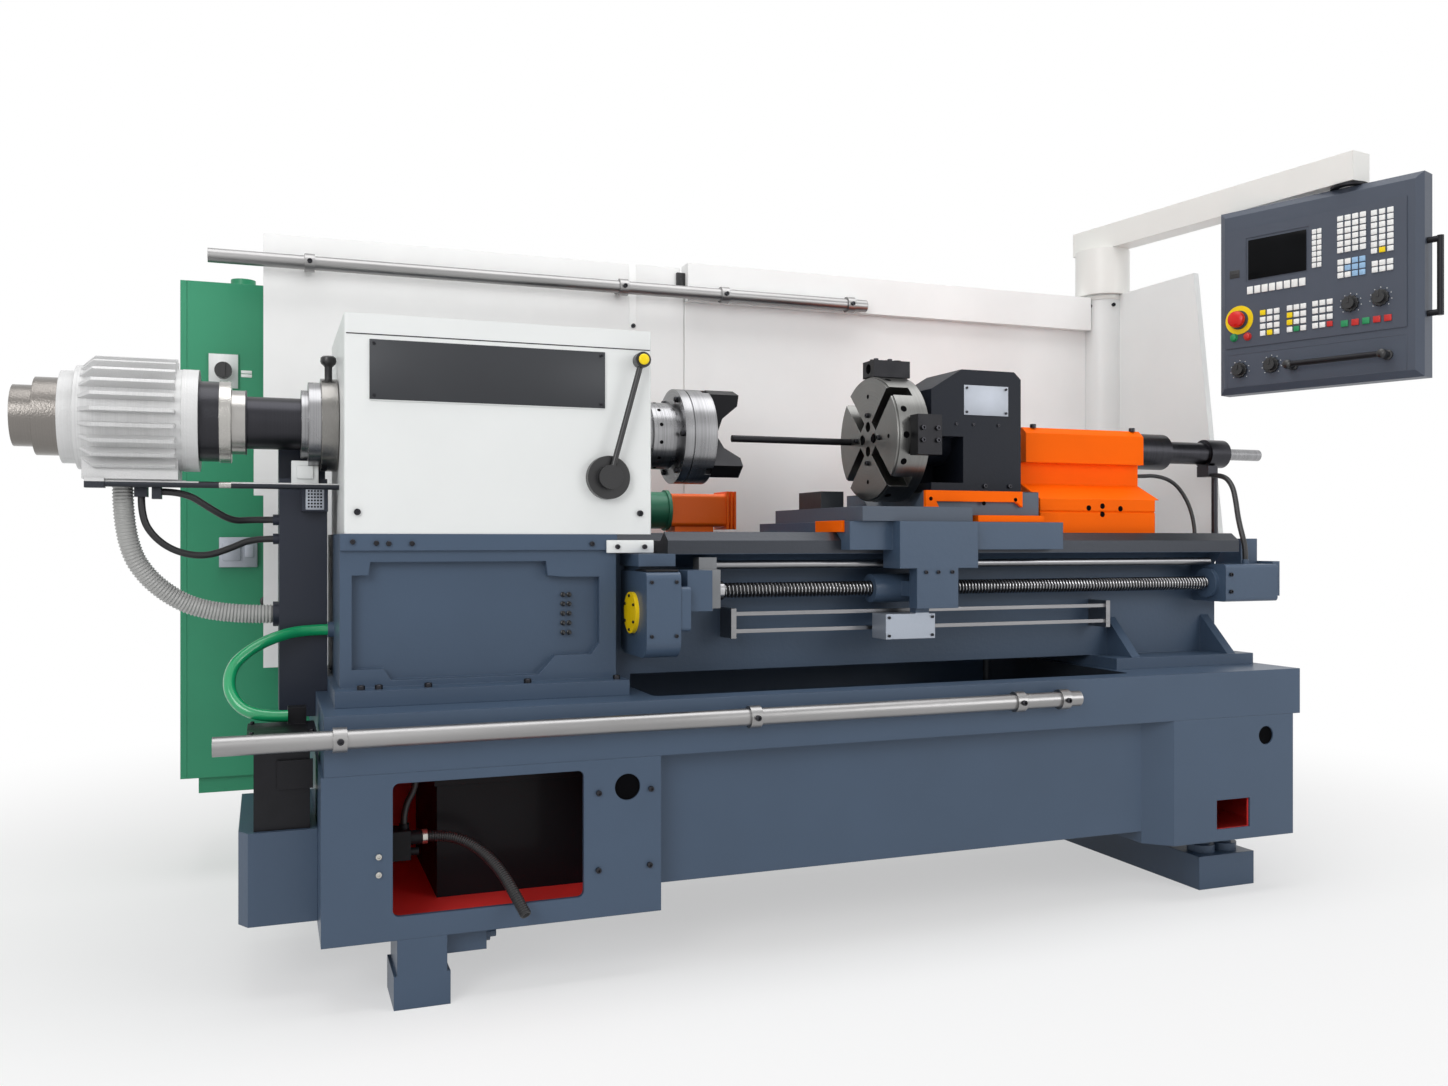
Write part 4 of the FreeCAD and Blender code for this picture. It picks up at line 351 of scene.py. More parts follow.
FINISHES = {
    "stand": stand_paint(),
    "tray": tray_paint(),
    "bed": bed_iron(),
    "blue_grey": cast_enamel("machine_enamel").done(0.003),
    "light": enamel("light_enamel", (232, 234, 233), 0.36, 0.015).done(0.002),
    "shield": enamel("shield_enamel", (247, 247, 246), 0.42, 0.02).done(0.002),
    "arm": enamel("arm_enamel", (236, 235, 231), 0.34, 0.015).done(0.003),
    "dark": enamel("turret_enamel", (24, 28, 37), 0.5, 0.08, 0.12).grain(0.0003, 120).done(0.002),
    "tank": enamel("tank_enamel", (18, 19, 23), 0.5, 0.08, 0.15).done(0.003),
    "panel": enamel("panel_enamel", (72, 79, 92), 0.48).grain(0.0002, 900).done(0.002),
    "green": enamel("cabinet_enamel", (52, 146, 108), 0.4).done(0.003),
    "orange": Finish("orange_enamel", (254, 104, 0), 0.55, gloss=0.08).vary(0.03, 5)
    .grain(0.0003, 90).done(0.003),
    "navy": enamel("navy_enamel", (30, 36, 50), 0.45, 0.08).done(0.002),
    "yellow": enamel("yellow_enamel", (248, 216, 10), 0.34).done(0.001),
    "red": enamel("red_plastic", (214, 26, 22), 0.28, 0.02).done(0.001),
    "sign": Finish("sign_plate", (48, 50, 54), 0.42, 0.3).vary(0.05, 8).grain(0.00004, 1500).done(0.001),
    "casting": coated_casting(),
    "turned": lathe_turned("turned_steel", (146, 146, 148), 0.28, amount=0.18).done(0.0012),
    "turned_dark": lathe_turned("turned_dark_steel", (60, 60, 64), 0.32).done(0.0012),
    "disc": lathe_turned("turret_disc_steel", (124, 124, 122), 0.32, TURRET).done(0.0015),
    "screw": screw_steel(),
    "ground": ground("ground_steel", (138, 138, 140), 0.3).done(0.0015),
    "tube": tube_steel(),
    "headstock": headstock_paint(),
    "draw_tube": draw_tube_steel(),
    "carriage": carriage_paint(),
    "slide": slide_paint(),
    "gearbox": gearbox_paint(),
    "motor": motor_paint(),
    "black_steel": Finish("black_steel", (34, 34, 37), 0.42, 0.75).vary(0.12, 30)
    .grain(0.0001, 500).done(0.0012),
    "bolt": Finish("bolt_steel", (52, 52, 56), 0.3, 0.9).vary(0.15, 60).done(0),
    "zinc": Finish("zinc_steel", (190, 188, 182), 0.28, 0.95).vary(0.1, 60).done(0),
    "alloy": Finish("alloy", (168, 173, 182), 0.5, 0.6).vary(0.05, 25).grain(0.00006, 900).done(0.001),
    "rubber": hose_rubber("black_rubber", (26, 26, 28), 0.45),
    "silver_hose": hose_rubber("silver_hose", (168, 168, 166), 0.36),
    "green_hose": hose_rubber("green_hose", (14, 160, 100), 0.2, 0.6),
    "plastic": Finish("black_plastic", (24, 24, 26), 0.36, coat=0.2).vary(0.05, 20)
    .grain(0.0001, 800).done(0.001),
    "keys_plate": Finish("keys_plate", (76, 82, 94), 0.5, gloss=0.3).vary(0.02, 30)
    .grain(0.0001, 1200).done(0.0005),
    **{name: Finish(name, colour, 0.4).vary(amount, 90).done(0.0008) for name, colour, amount in (
        ("key_white", (242, 243, 241), 0.02), ("key_blue", (150, 188, 222), 0.02),
        ("key_green", (24, 140, 84), 0.03), ("key_red", (196, 34, 30), 0.03))},
    # Near-black discs drawn where holes and openings are: painted shade standing in for their depth.
    "hole_shade": Finish("painted_hole_shade", (9, 9, 11), 0.8, gloss=0.03).vary(0.2, 30).done(0),
    "screen": Finish("screen_glass", (12, 13, 15), 0.2, gloss=0.06).vary(0.2, 6).done(0),
}

# The nodes that each finish dresses.
NODE_FINISH = {
    "stand": ["base_frame"],
    "tray": ["chip_tray"],
    "bed": ["bed"],
    "blue_grey": ["left_feet", "right_foot", "end_bearing_block", "coolant_tank"],
    "headstock": ["headstock_casting"],
    "gearbox": ["feed_gearbox"],
    "carriage": ["carriage"],
    "slide": ["cross_slide"],
    "motor": ["rear_motor"],
    "screw": ["ball_screw"],
    "light": ["headstock_cover", "headstock_lid", "panel_column"],
    "shield": ["rear_shield"],
    "arm": ["support_arm"],
    "dark": ["turret_body"],
    "tank": ["base_tank"],
    "panel": ["control_panel"],
    "green": ["electrical_cabinet", "cabinet_door"],
    "orange": ["wipers", "slide_frame", "tailstock_body"],
    "navy": ["supply_column"],
    "casting": ["actuator_housing"],
    "turned": ["spindle", "chuck_body", "tailstock_quill"],
    "turned_dark": ["tailstock_cylinder"],
    "draw_tube": ["draw_tube"],
    "disc": ["turret_disc"],
    "ground": ["spindle_bearings", "guide_bars"],
    "tube": ["front_rail_tube", "rear_rail_tube"],
    "black_steel": ["turret_tools", "jaw_1", "jaw_2", "jaw_3", "coolant_pump", "panel_handles"],
    "plastic": ["selector_lever", "override_knob_1", "override_knob_2", "selector_knob_1", "selector_knob_2",
                "main_switch"],
    "red": ["emergency_stop"],
    "keys_plate": ["panel_keys"],
}


def dress_nodes():
    for look, names in NODE_FINISH.items():
        for name in names:
            for slot in frame["nodes"][name].material_slots:
                slot.material = FINISHES[look]


# ---------------------------------------------------------------- making a piece

SHARP_ANGLE = 40
THREAD_SHARP_ANGLE = 50
# A screw head's sizes as shares of its radius, and its socket's depth as a share of its height.
HEAD_HEIGHT, HEAD_SOFT, SOCKET_TOP, SOCKET_FOOT, SOCKET_DEPTH = 1.1, 0.14, 0.58, 0.56, 0.45


def skin(mesh, rings, closed=False):
    """Faces from each ring to the next one and, where closed, from the last to the first."""
    for first, second in zip(rings, rings[1:] + rings[:1] if closed else rings[1:]):
        for number in range(len(first)):
            after = (number + 1) % len(first)
            mesh.faces.new((first[number], first[after], second[after], second[number]))


def cap(mesh, rings):
    mesh.faces.new(list(reversed(rings[0])))
    mesh.faces.new(rings[-1])


def settle(piece, body, stands_for=None):
    """Tie a piece to its body and, where it has one, hide the node that it replaces."""
    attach(piece, body)
    if stands_for:
        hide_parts(stands_for)


def mesh_piece(name, mesh, look, sharp=None):
    """Turn a mesh into an object; `sharp` is the angle from which its edges stay sharp."""
    bmesh.ops.recalc_face_normals(mesh, faces=mesh.faces)
    data = bpy.data.meshes.new(name)
    mesh.to_mesh(data)
    mesh.free()
    data.materials.append(FINISHES[look])
    data.shade_smooth()
    if sharp:
        data.set_sharp_from_angle(angle=math.radians(sharp))
    return new_piece(name, data)


def square_to(direction):
    """A direction of length 1, and two ways square to it."""
    direction = direction.normalized()
    side = direction.orthogonal().normalized()
    return direction, side, direction.cross(side)


class Maker:
    """One mesh piece, made of several closed forms."""

    def __init__(self, name):
        self.name = name
        self.mesh = bmesh.new()

    def ring(self, centre, side, up, radius, around, hexagon=False):
        points = []
        for number in range(around):
            angle = 2 * math.pi * number / around
            reach = radius
            if hexagon:
                reach = radius * math.cos(math.pi / 6) / math.cos(angle % (math.pi / 3) - math.pi / 6)
            place = centre + side * (reach * math.cos(angle)) + up * (reach * math.sin(angle))
            points.append(self.mesh.verts.new(place))
        return points

    def lathe(self, start, direction, profile, around=32, hexagon_from=None):
        """Turn a profile of (distance along, radius) in mm about a line; both ends are closed."""
        direction, side, up = square_to(direction)
        rings = []
        for number, (along, radius) in enumerate(profile):
            hexagon = hexagon_from is not None and number >= hexagon_from
            place = start + direction * (along / 1000)
            rings.append(self.ring(place, side, up, radius / 1000, around, hexagon))
        skin(self.mesh, rings)
        cap(self.mesh, rings)

    def pipe(self, start, direction, length, radius, bore, around=32):
        """A short open tube, lengths in mm, with softened rims."""
        soft = min(0.8, (radius - bore) / 3)
        profile = [(0, bore), (0, radius - soft), (soft, radius), (length - soft, radius),
                   (length, radius - soft), (length, bore)]
        direction, side, up = square_to(direction)
        rings = [self.ring(start + direction * (along / 1000), side, up, reach / 1000, around)
                 for along, reach in profile]
        skin(self.mesh, rings, closed=True)

    def bolt(self, seat, direction, radius):
        """A cap screw with a hexagon socket, its head's underside on the seat."""
        height = radius * HEAD_HEIGHT
        soft = radius * HEAD_SOFT
        profile = [(-1, radius), (height - soft, radius), (height, radius - soft),
                   (height, radius * SOCKET_TOP), (height * SOCKET_DEPTH, radius * SOCKET_FOOT)]
        self.lathe(seat, direction, profile, 12, hexagon_from=3)

    def block(self, low, high, soft, turn=None):
        """A box with softened edges; `turn` is a matrix applied to it."""
        size = high - low
        made = bmesh.ops.create_cube(self.mesh, size=1.0)["verts"]
        for vertex in made:
            vertex.co = Vector((low[i] + size[i] * (vertex.co[i] + 0.5) for i in range(3)))
        lines = [edge for edge in self.mesh.edges if set(edge.verts) <= set(made)]
        offset = min(soft / 1000, min(size) * 0.45)
        result = bmesh.ops.bevel(self.mesh, geom=lines, offset=offset, segments=2, profile=0.5,
                                 affect="EDGES")
        if turn is not None:
            picked = {vertex for vertex in (*result["verts"], *made) if vertex.is_valid}
            bmesh.ops.transform(self.mesh, matrix=turn, verts=list(picked))

    def done(self, look, body, slot):
        piece = mesh_piece(self.name, self.mesh, look, SHARP_ANGLE)
        settle(piece, body)


# ---------------------------------------------------------------- hoses

DRAIN_ROUTE = ((-414, 438, 1126), (-414, 438, 996), (-348, 455, 888), (-229, 482, 822), (-91, 482, 822))
PRESSURE_ROUTE_1 = ((-330, 400, 1112), (-282, 400, 1112), (-230, 418, 1076), (-182, 446, 1046),
                    (-139, 466, 1050), (-91, 466, 1050))
PRESSURE_ROUTE_2 = ((-374, 420, 1100), (-374, 420, 1052), (-346, 426, 1004), (-300, 436, 972),
                    (-240, 450, 962), (-184, 466, 982), (-139, 476, 1004), (-91, 476, 1004))
COOLANT_ROUTE = ((33, 432, 784), (-20, 432, 784), (-72, 408, 776), (-132, 381, 753), (-185, 354, 708),
                 (-185, 316, 644), (-132, 289, 599), (-60, 289, 599))
TAILSTOCK_ROUTE_1 = ((2381, 410, 1200), (2440, 410, 1200), (2505, 402, 1204), (2562, 390, 1184),
                     (2594, 370, 1130), (2602, 350, 1068), (2595, 335, 1006), (2595, 335, 954))
TAILSTOCK_ROUTE_2 = ((2730, 405, 1208), (2730, 358, 1208), (2722, 312, 1172), (2704, 280, 1122),
                     (2678, 246, 1080), (2654, 212, 1044), (2640, 186, 1010), (2636, 172, 976),
                     (2636, 172, 944))
BASE_ROUTE_1 = ((222, 150, 330), (266, 150, 330), (312, 126, 322), (350, 88, 300), (380, 40, 268),
                (402, -8, 228), (420, -50, 188))
BASE_ROUTE_2 = ((184, 155, 362), (184, 155, 398), (212, 155, 444), (212, 155, 481))


def line_of(name, route):
    """The smooth line that a hose follows."""
    curve = bpy.data.curves.new(name, "CURVE")
    curve.dimensions = "3D"
    spline = curve.splines.new("NURBS")
    spline.points.add(len(route) - 1)
    for point, (x, y, z) in zip(spline.points, route):
        point.co = (*at(x, y, z), 1)
    spline.order_u = 3
    spline.use_endpoint_u = True
    spline.resolution_u = 14
    return new_piece(name, curve)


def plain_hose(name, route, diameter, body, look):
    piece = line_of(name, route)
    piece.data.bevel_depth = diameter / 2
    piece.data.bevel_resolution = 8
    piece.data.use_fill_caps = True
    piece.data.materials.append(FINISHES[look])
    settle(piece, body, name.removesuffix("_line"))


def points_along(route):
    """Points of a route's smooth line, in order."""
    guide = line_of("guide", route)
    mesh = bpy.data.meshes.new_from_object(guide)
    points = [vertex.co.copy() for vertex in mesh.vertices]
    bpy.data.objects.remove(guide)
    return points


def evenly(points, count):
    """The same line as `count` + 1 evenly spaced points."""
    lengths = [0.0]
    for first, second in zip(points, points[1:]):
        lengths.append(lengths[-1] + (second - first).length)
    spaced = []
    index = 0
    for number in range(count + 1):
        wanted = lengths[-1] * number / count
        while index < len(points) - 2 and lengths[index + 1] < wanted:
            index += 1
        share = (wanted - lengths[index]) / (lengths[index + 1] - lengths[index])
        spaced.append(points[index].lerp(points[index + 1], share))
    return spaced, lengths[-1]


# One rib: (share of its pitch, share of its height).
RIB_SHAPE = ((0.0, 0.0), (0.14, 0.75), (0.32, 1.0), (0.5, 0.75), (0.64, 0.0))
STEPS_PER_RIB = 25
HOSE_SIDES = 24
BORE_SHARE = 0.78
BORE_DEPTH = 0.04


def ribbed_hose(name, route, diameter, pitch, rib, look):
    """A corrugated hose on the stand: ribs about the route's smooth line, with a bore at both ends."""
    path = points_along(route)
    total = evenly(path, 2)[1]
    ribs = round(total / pitch)
    steps = ribs * STEPS_PER_RIB
    line = evenly(path, steps)[0]
    mesh = bmesh.new()
    side = (line[1] - line[0]).orthogonal().normalized()
    rings = []

    def add_ring(index, radius):
        nonlocal side
        index = min(index, steps)
        ahead = (line[min(index + 1, steps)] - line[max(index - 1, 0)]).normalized()
        side = (side - ahead * side.dot(ahead)).normalized()
        up = ahead.cross(side)
        angles = [2 * math.pi * number / HOSE_SIDES for number in range(HOSE_SIDES)]
        rings.append([mesh.verts.new(line[index] + side * (radius * math.cos(angle))
                                     + up * (radius * math.sin(angle))) for angle in angles])

    root = diameter / 2 - rib
    bore = root * BORE_SHARE
    add_ring(round(steps * BORE_DEPTH), bore)
    add_ring(0, bore)
    for number in range(ribs):
        for share, height in RIB_SHAPE:
            add_ring(round((number + share) * STEPS_PER_RIB), root + rib * height)
    add_ring(steps, root)
    add_ring(steps, bore)
    add_ring(round(steps * (1 - BORE_DEPTH)), bore)
    skin(mesh, rings)
    cap(mesh, rings)
    piece = mesh_piece(name, mesh, look)
    settle(piece, "stand", name.removesuffix("_line"))


def hoses():
    ribbed_hose("drain_hose_line", DRAIN_ROUTE, 0.046, 0.0078, 0.0022, "silver_hose")
    ribbed_hose("base_hose_1_line", BASE_ROUTE_1, 0.026, 0.0056, 0.0018, "rubber")
    for name, route, diameter, length, body, look, slot in (
            ("pressure_hose_1_line", PRESSURE_ROUTE_1, 0.016, 0.269, "stand", "rubber", "hose_black"),
            ("pressure_hose_2_line", PRESSURE_ROUTE_2, 0.016, 0.379, "stand", "rubber", "hose_black"),
            ("coolant_hose_line", COOLANT_ROUTE, 0.027, 0.464, "stand", "green_hose", "hose_green"),
            ("tailstock_hose_1_line", TAILSTOCK_ROUTE_1, 0.012, 0.430, "tailstock", "rubber", "hose_black"),
            ("tailstock_hose_2_line", TAILSTOCK_ROUTE_2, 0.016, 0.394, "tailstock", "rubber", "hose_black"),
            ("base_hose_2_line", BASE_ROUTE_2, 0.015, 0.125, "stand", "rubber", "hose_black")):
        plain_hose(name, route, diameter, body, look)


# ---------------------------------------------------------------- details

def radial(axis, x, radius, degrees):
    """A place on a circle about an axis along X, and the way out from it. 0 degrees is up."""
    angle = math.radians(degrees)
    way = Vector((0, -math.sin(angle), math.cos(angle)))
    return at(x, *axis) + way * (radius / 1000), way


def screws(name, places, direction, radius, body, look="bolt", slot="black_steel"):
    """Cap screws with their heads on the given places."""
    maker = Maker(name)
    for place in places:
        maker.bolt(at(*place), direction, radius)
    maker.done(look, body, slot)


def holes(name, places, radius, body):
    """Holes, given as (place, way out), each drawn as a near-black disc: painted shade standing in for the
    hole's depth.
    """
    maker = Maker(name)
    for place, way in places:
        maker.lathe(place, way, [(-2, radius), (0.4, radius), (0.7, radius * 0.88), (0.1, radius * 0.7)], 20)
    maker.done("hole_shade", body, "black_plastic")


def turned_piece(name, places, direction, profile, around, look, body):
    """The same turned form at each of the given places."""
    maker = Maker(name)
    for place in places:
        maker.lathe(at(*place), direction, profile, around)
    maker.done(look, body, "black_plastic")


# Each set of screws: name, body, way out, head radius, places.
SCREW_SETS = (
    ("stand_screws", "stand", TO_FRONT, 6.5, [(595, 0, 430), (718, 0, 431), (594, 0, 256), (715, 0, 257)]),
    ("casting_screws", "stand", TO_FRONT, 6,
     [(74, 168, 997), (125, 168, 994), (152, 168, 993), (203, 168, 993), (623, 168, 992)]),
    ("flange_studs", "stand", Z_AXIS, 9, [(x, 140, 669) for x in (90, 128, 236, 462, 676)]),
    ("cover_bolts", "stand", TO_FRONT, 7.5, [(84, 170, 1064), (743, 170, 1066)]),
    ("sign_screws", "stand", TO_FRONT, 3.5, [(x, 164.6, z) for x in (119, 646) for z in (1326, 1444)]),
    ("bracket_screws", "stand", TO_FRONT, 6, [(684, 160, 985), (752, 160, 985)]),
    ("front_rail_bolts", "stand", TO_FRONT, 7, [(x, -59, 588) for x in (36, 960, 1690, 1826)]),
    ("rear_rail_bolts", "stand", TO_FRONT, 7, [(x, 989, 1798) for x in (10, 944, 1285, 1740)]),
    ("gearbox_screws", "stand", TO_FRONT, 4.5, [(x, 50, z) for x in (736, 797) for z in (775, 902)]),
    ("trip_box_screws", "carriage", TO_FRONT, 4, [(x, 105, z) for x in (1393, 1520) for z in (754, 801)]),
    ("turret_plate_screws", "turret", TO_FRONT, 3.5,
     [(x, 198.6, z) for x in (1684, 1810) for z in (1352, 1418)]),
    ("turret_front_screws", "turret", TO_FRONT, 4, [(x, 200, 1318) for x in (1652, 1706, 1786)]),
    ("turret_foot_screws", "turret", TO_FRONT, 6, [(1742, 200, 1150), (1822, 200, 1150)]),
    ("apron_screws", "carriage", TO_FRONT, 5, [(x, 80, 918) for x in (1487, 1523, 1565)]),
    ("holder_top_screws", "turret", Z_AXIS, 7,
     [(1470, 320, 1496), (1470, 342, 1496), (1512, 318, 1496), (1512, 342, 1496)]),
    ("holder_side_screws", "turret", TO_FRONT, 6.5,
     [(x, 118, z) for x in (1500, 1544) for z in (1264, 1296)]),
    ("tailstock_top_screws", "tailstock", Z_AXIS, 9,
     [(x, y, 1330) for x in (1985, 2340) for y in (320, 540)]),
    ("pump_screws", "stand", Z_AXIS, 5, [(-136, 160, 580), (-12, 160, 580), (-136, 320, 580)]),
    ("shield_screw", "stand", TO_FRONT, 7, [(994, 1072, 1689), (994, 1072, 1180)]),
    ("end_block_screws", "stand", TO_FRONT, 6, [(2540, 130, 850), (2540, 130, 900)]),
)

# Each circle of screws: name, body, axis, place along it, radius, count, head radius, first angle.
SCREW_CIRCLES = (
    ("chuck_bolts", "spindle", SPINDLE, 912, 108, 6, 8, 30),
    ("cap_bolts", "stand", SPINDLE, 16, 96, 6, 6, 0),
    ("gearbox_cap_bolts", "stand", (158, 826), 714, 41, 6, 3.5, 0),
    ("turret_disc_bolts", "turret", TURRET, 1450, 66, 4, 7, 0),
)


def screw_circles():
    for name, body, axis, x, radius, count, head, first in SCREW_CIRCLES:
        maker = Maker(name)
        for number in range(count):
            seat, _ = radial(axis, x, radius, first + 360 * number / count)
            maker.bolt(seat, -X_AXIS, head)
        maker.done("bolt", body, "black_steel")


def round_holes():
    """The drilled and tapped holes of the spindle's nose, the turret, the tailstock and the slide, drawn as
    dark discs of painted shade.
    """
    around = [radial(SPINDLE, 858, 89, 15 + 30 * number) for number in range(12)]
    holes("nose_holes", around, 5, "spindle")
    rim = [radial(TURRET, 1474, 172, 66 + 24 * number + 90 * petal)
           for petal in range(4) for number in range(3)]
    holes("turret_rim_holes", rim, 9, "turret")
    face = [(radial(TURRET, 1450, 27, 90 + 180 * number)[0], -X_AXIS) for number in range(2)]
    holes("turret_face_holes", face, 10, "turret")
    petals = [(radial(TURRET, 1450, 118, 90 * number)[0], -X_AXIS) for number in range(4)]
    holes("turret_petal_holes", petals, 6, "turret")
    side = [(at(x, 231.3, z), TO_FRONT) for x, z in ((2162, 1100), (2114, 1094), (2226, 1093), (2162, 1076))]
    holes("tailstock_holes", side, 8, "tailstock")
    frame_holes = [(at(x, 138, z), TO_FRONT) for x, z in ((1536, 1111), (1800, 1111), (1700, 1100))]
    holes("slide_frame_holes", frame_holes, 5.5, "cross_slide")


COLUMN = (2834, 1080)
COLUMN_RADIUS = 0.08


def fittings():
    """Small turned pieces: lubrication fittings, dark discs of painted shade in two openings of the stand, the
    hose clamp, the lock and the column's collar.
    """
    spots = [(x, 204, z) for z in (779, 802, 825, 848, 870) for x in (560, 575)]
    turned_piece("lubrication_fittings", spots, TO_FRONT,
                 [(-2, 6), (5, 6), (6, 4), (12, 4), (13, 3), (17, 3)], 12, "plastic", "stand")
    screws("window_screws", [(116, 0, 331), (116, 0, 293)], TO_FRONT, 6.5, "stand", "zinc", "steel")
    turned_piece("cap_knob", [(35, 438, 1391)], Z_AXIS,
                 [(-4, 9), (30, 9), (34, 12), (38, 17), (44, 19), (53, 18), (57, 13)], 28, "plastic", "stand")
    # Dark discs in two openings of the stand's front: painted shade for the openings' depth.
    maker = Maker("hole_shade_discs")
    for x, z, radius, step in ((663, 439, 30.5, 4.5), (2543, 448, 26.5, 3.5)):
        profile = [(0, radius), (1.5, radius), (1.5, radius - step), (0.6, radius - step - 2)]
        maker.lathe(at(x, 6, z), TO_FRONT, profile)
    maker.done("hole_shade", "stand", "black_plastic")
    maker = Maker("hose_clamp")
    maker.pipe(at(223, 150, 330), X_AXIS, 12, 16.5, 13.3)
    maker.done("zinc", "stand", "steel")
    turned_piece("lever_cap", [(738.7, 120, 1434)], TO_FRONT, [(-1, 13), (2, 13), (4, 11), (4.6, 7)], 24,
                 "yellow", "lever")
    turned_piece("cabinet_lock", [(-109, 1200, 819)], TO_FRONT,
                 [(-2, 15), (5, 15), (7, 12), (7, 7), (10, 6)], 24, "plastic", "stand")
    maker = Maker("column_collar")
    maker.pipe(at(*COLUMN, 1893), Z_AXIS, 14, 82.5, 79.5, 48)
    maker.done("arm", "stand", "light_paint")
    maker = Maker("column_screws")
    for degrees in (-160, -100, -40):
        way = Vector((math.cos(math.radians(degrees)), math.sin(math.radians(degrees)), 0))
        maker.bolt(at(*COLUMN, 1872) + way * COLUMN_RADIUS, way, 7)
    maker.done("bolt", "stand", "black_steel")


# Each set of plates: name, finish, slot, body, width of the softened edges, pairs of corners.
PLATE_SETS = (
    ("sign_plate", "sign", "panel_paint", "stand", 0.6, [((110, 164.6, 1317.5), (655, 166.2, 1452.5))]),
    ("lid_seam", "plastic", "black_plastic", "stand", 0.3, [((60, 169.2, 1462.6), (769, 171, 1465.2))]),
    ("white_bracket", "light", "light_paint", "stand", 2, [((658, 160, 970), (776, 168, 1001))]),
    ("turret_plate", "alloy", "steel", "turret", 0.6, [((1676, 198.6, 1344), (1818, 200.2, 1426))]),
    ("shield_strip", "shield", "light_paint", "stand", 1, [((981, 1072, 640), (1005, 1075.4, 1886))]),
    ("shield_latch", "plastic", "black_plastic", "stand", 2,
     [((1140, 1066, 1806), (1170, 1076, 1872)), ((1150, 1062, 1826), (1160, 1067, 1852))]),
    ("valve_block", "light", "light_paint", "stand", 2,
     [((-50, 424, 1137), (12, 451, 1192)), ((-38, 418, 1148), (0, 425, 1180))]),
    ("switch_plate", "light", "light_paint", "stand", 0.1, [((-264, 1193.7, 1449), (-184, 1194.3, 1549))]),
    ("cabinet_tags", "key_white", "light_paint", "stand", 0.4,
     [((-176, 1198, 1484), (-146, 1200.3, 1493)), ((-176, 1198, 1495), (-146, 1200.3, 1504))]),
    ("cabinet_latch", "alloy", "steel", "stand", 3,
     [((-236, 1182, 921), (-130, 1200.3, 1010)), ((-226, 1174, 940), (-176, 1183, 996)),
      ((-166, 1178, 950), (-140, 1183, 986))]),
    ("handwheel_shelf", "black_steel", "black_steel", "stand", 1, [((726, 60, 926.2), (806, 150, 931))]),
    ("valve_grille", "alloy", "steel", "stand", 0.6, [((-18, 408.4, 1074), (24, 410.2, 1126))]),
)


def cover_plates():
    for name, look, slot, body, soft, boxes in PLATE_SETS:
        maker = Maker(name)
        for low, high in boxes:
            maker.block(at(*low), at(*high), soft)
        maker.done(look, body, slot)


def grille_holes():
    """The perforations of the valve grille, drawn as dark discs of painted shade."""
    spots = [(at(-11 + 7 * column, 408.4, 1081 + 7.6 * row), TO_FRONT)
             for column in range(5) for row in range(6)]
    holes("grille_holes", spots, 2.4, "stand")


# ---------------------------------------------------------------- the ball screw

THREAD_PITCH = 0.010
THREAD_DEPTH = 0.0048
THREAD_RADIUS = 0.020
THREAD_START, THREAD_END = 968, 2502
GROOVE_WIDTH = 0.68
CORE_RADIUS = 0.0149
COLLAR_RADIUS = 0.024
COLLAR_START, COLLAR_END = 948, 967.9
SCREW_SIDES, STEPS_PER_TURN = 24, 6
LEAST_RADIUS = 1e-5


def thread_radius(along, share):
    """The thread's radius at a place along the screw and a share of a turn about it."""
    phase = ((along - THREAD_START) / 1000 / THREAD_PITCH - share) % 1.0
    away = abs(phase - 0.5) * 2
    return THREAD_RADIUS - THREAD_DEPTH * math.sqrt(max(0.0, 1 - (away / GROOVE_WIDTH) ** 2))


def ball_screw():
    """The feed screw with its real thread: a round-bottomed groove that winds along it."""
    low, high = edges("ball_screw")
    y, z = (low.y + high.y) / 2, (low.z + high.z) / 2
    rows = [(low.x, LEAST_RADIUS), (low.x, CORE_RADIUS), (COLLAR_START, CORE_RADIUS),
            (COLLAR_START, COLLAR_RADIUS), (COLLAR_END, COLLAR_RADIUS)]
    steps = round((THREAD_END - THREAD_START) / 1000 / THREAD_PITCH) * STEPS_PER_TURN
    rows += [(THREAD_START + (THREAD_END - THREAD_START) * number / steps, None)
             for number in range(steps + 1)]
    rows += [(THREAD_END, CORE_RADIUS), (high.x, CORE_RADIUS), (high.x, LEAST_RADIUS)]
    mesh = bmesh.new()
    rings = []
    for along, fixed in rows:
        ring = []
        for number in range(SCREW_SIDES):
            angle = 2 * math.pi * number / SCREW_SIDES
            reach = thread_radius(along, number / SCREW_SIDES) if fixed is None else fixed
            spoke = Vector((0, reach * math.cos(angle), reach * math.sin(angle)))
            ring.append(mesh.verts.new(at(along, y, z) + spoke))
        rings.append(ring)
    skin(mesh, rings)
    cap(mesh, rings)
    piece = mesh_piece("feed_screw_thread", mesh, "screw", THREAD_SHARP_ANGLE)
    settle(piece, "screw", "ball_screw")


# ---------------------------------------------------------------- the control panel's face

PANEL_PIVOT, PANEL_TURN = (2972, 101), -71.2
PANEL = Matrix.Translation(at(*PANEL_PIVOT, 0)) @ Matrix.Rotation(math.radians(PANEL_TURN), 4, "Z")
PANEL_WIDTH, PANEL_HEIGHT, PANEL_LEFT, PANEL_TOP, PANEL_FACE = 0.615, 0.595, -0.396, 2.070, -0.035
KEY_ROOT, KEY_TOP, KEY_SOFT = 2.8, 7.0, 1.2
STOP = (0.115, 0.602)
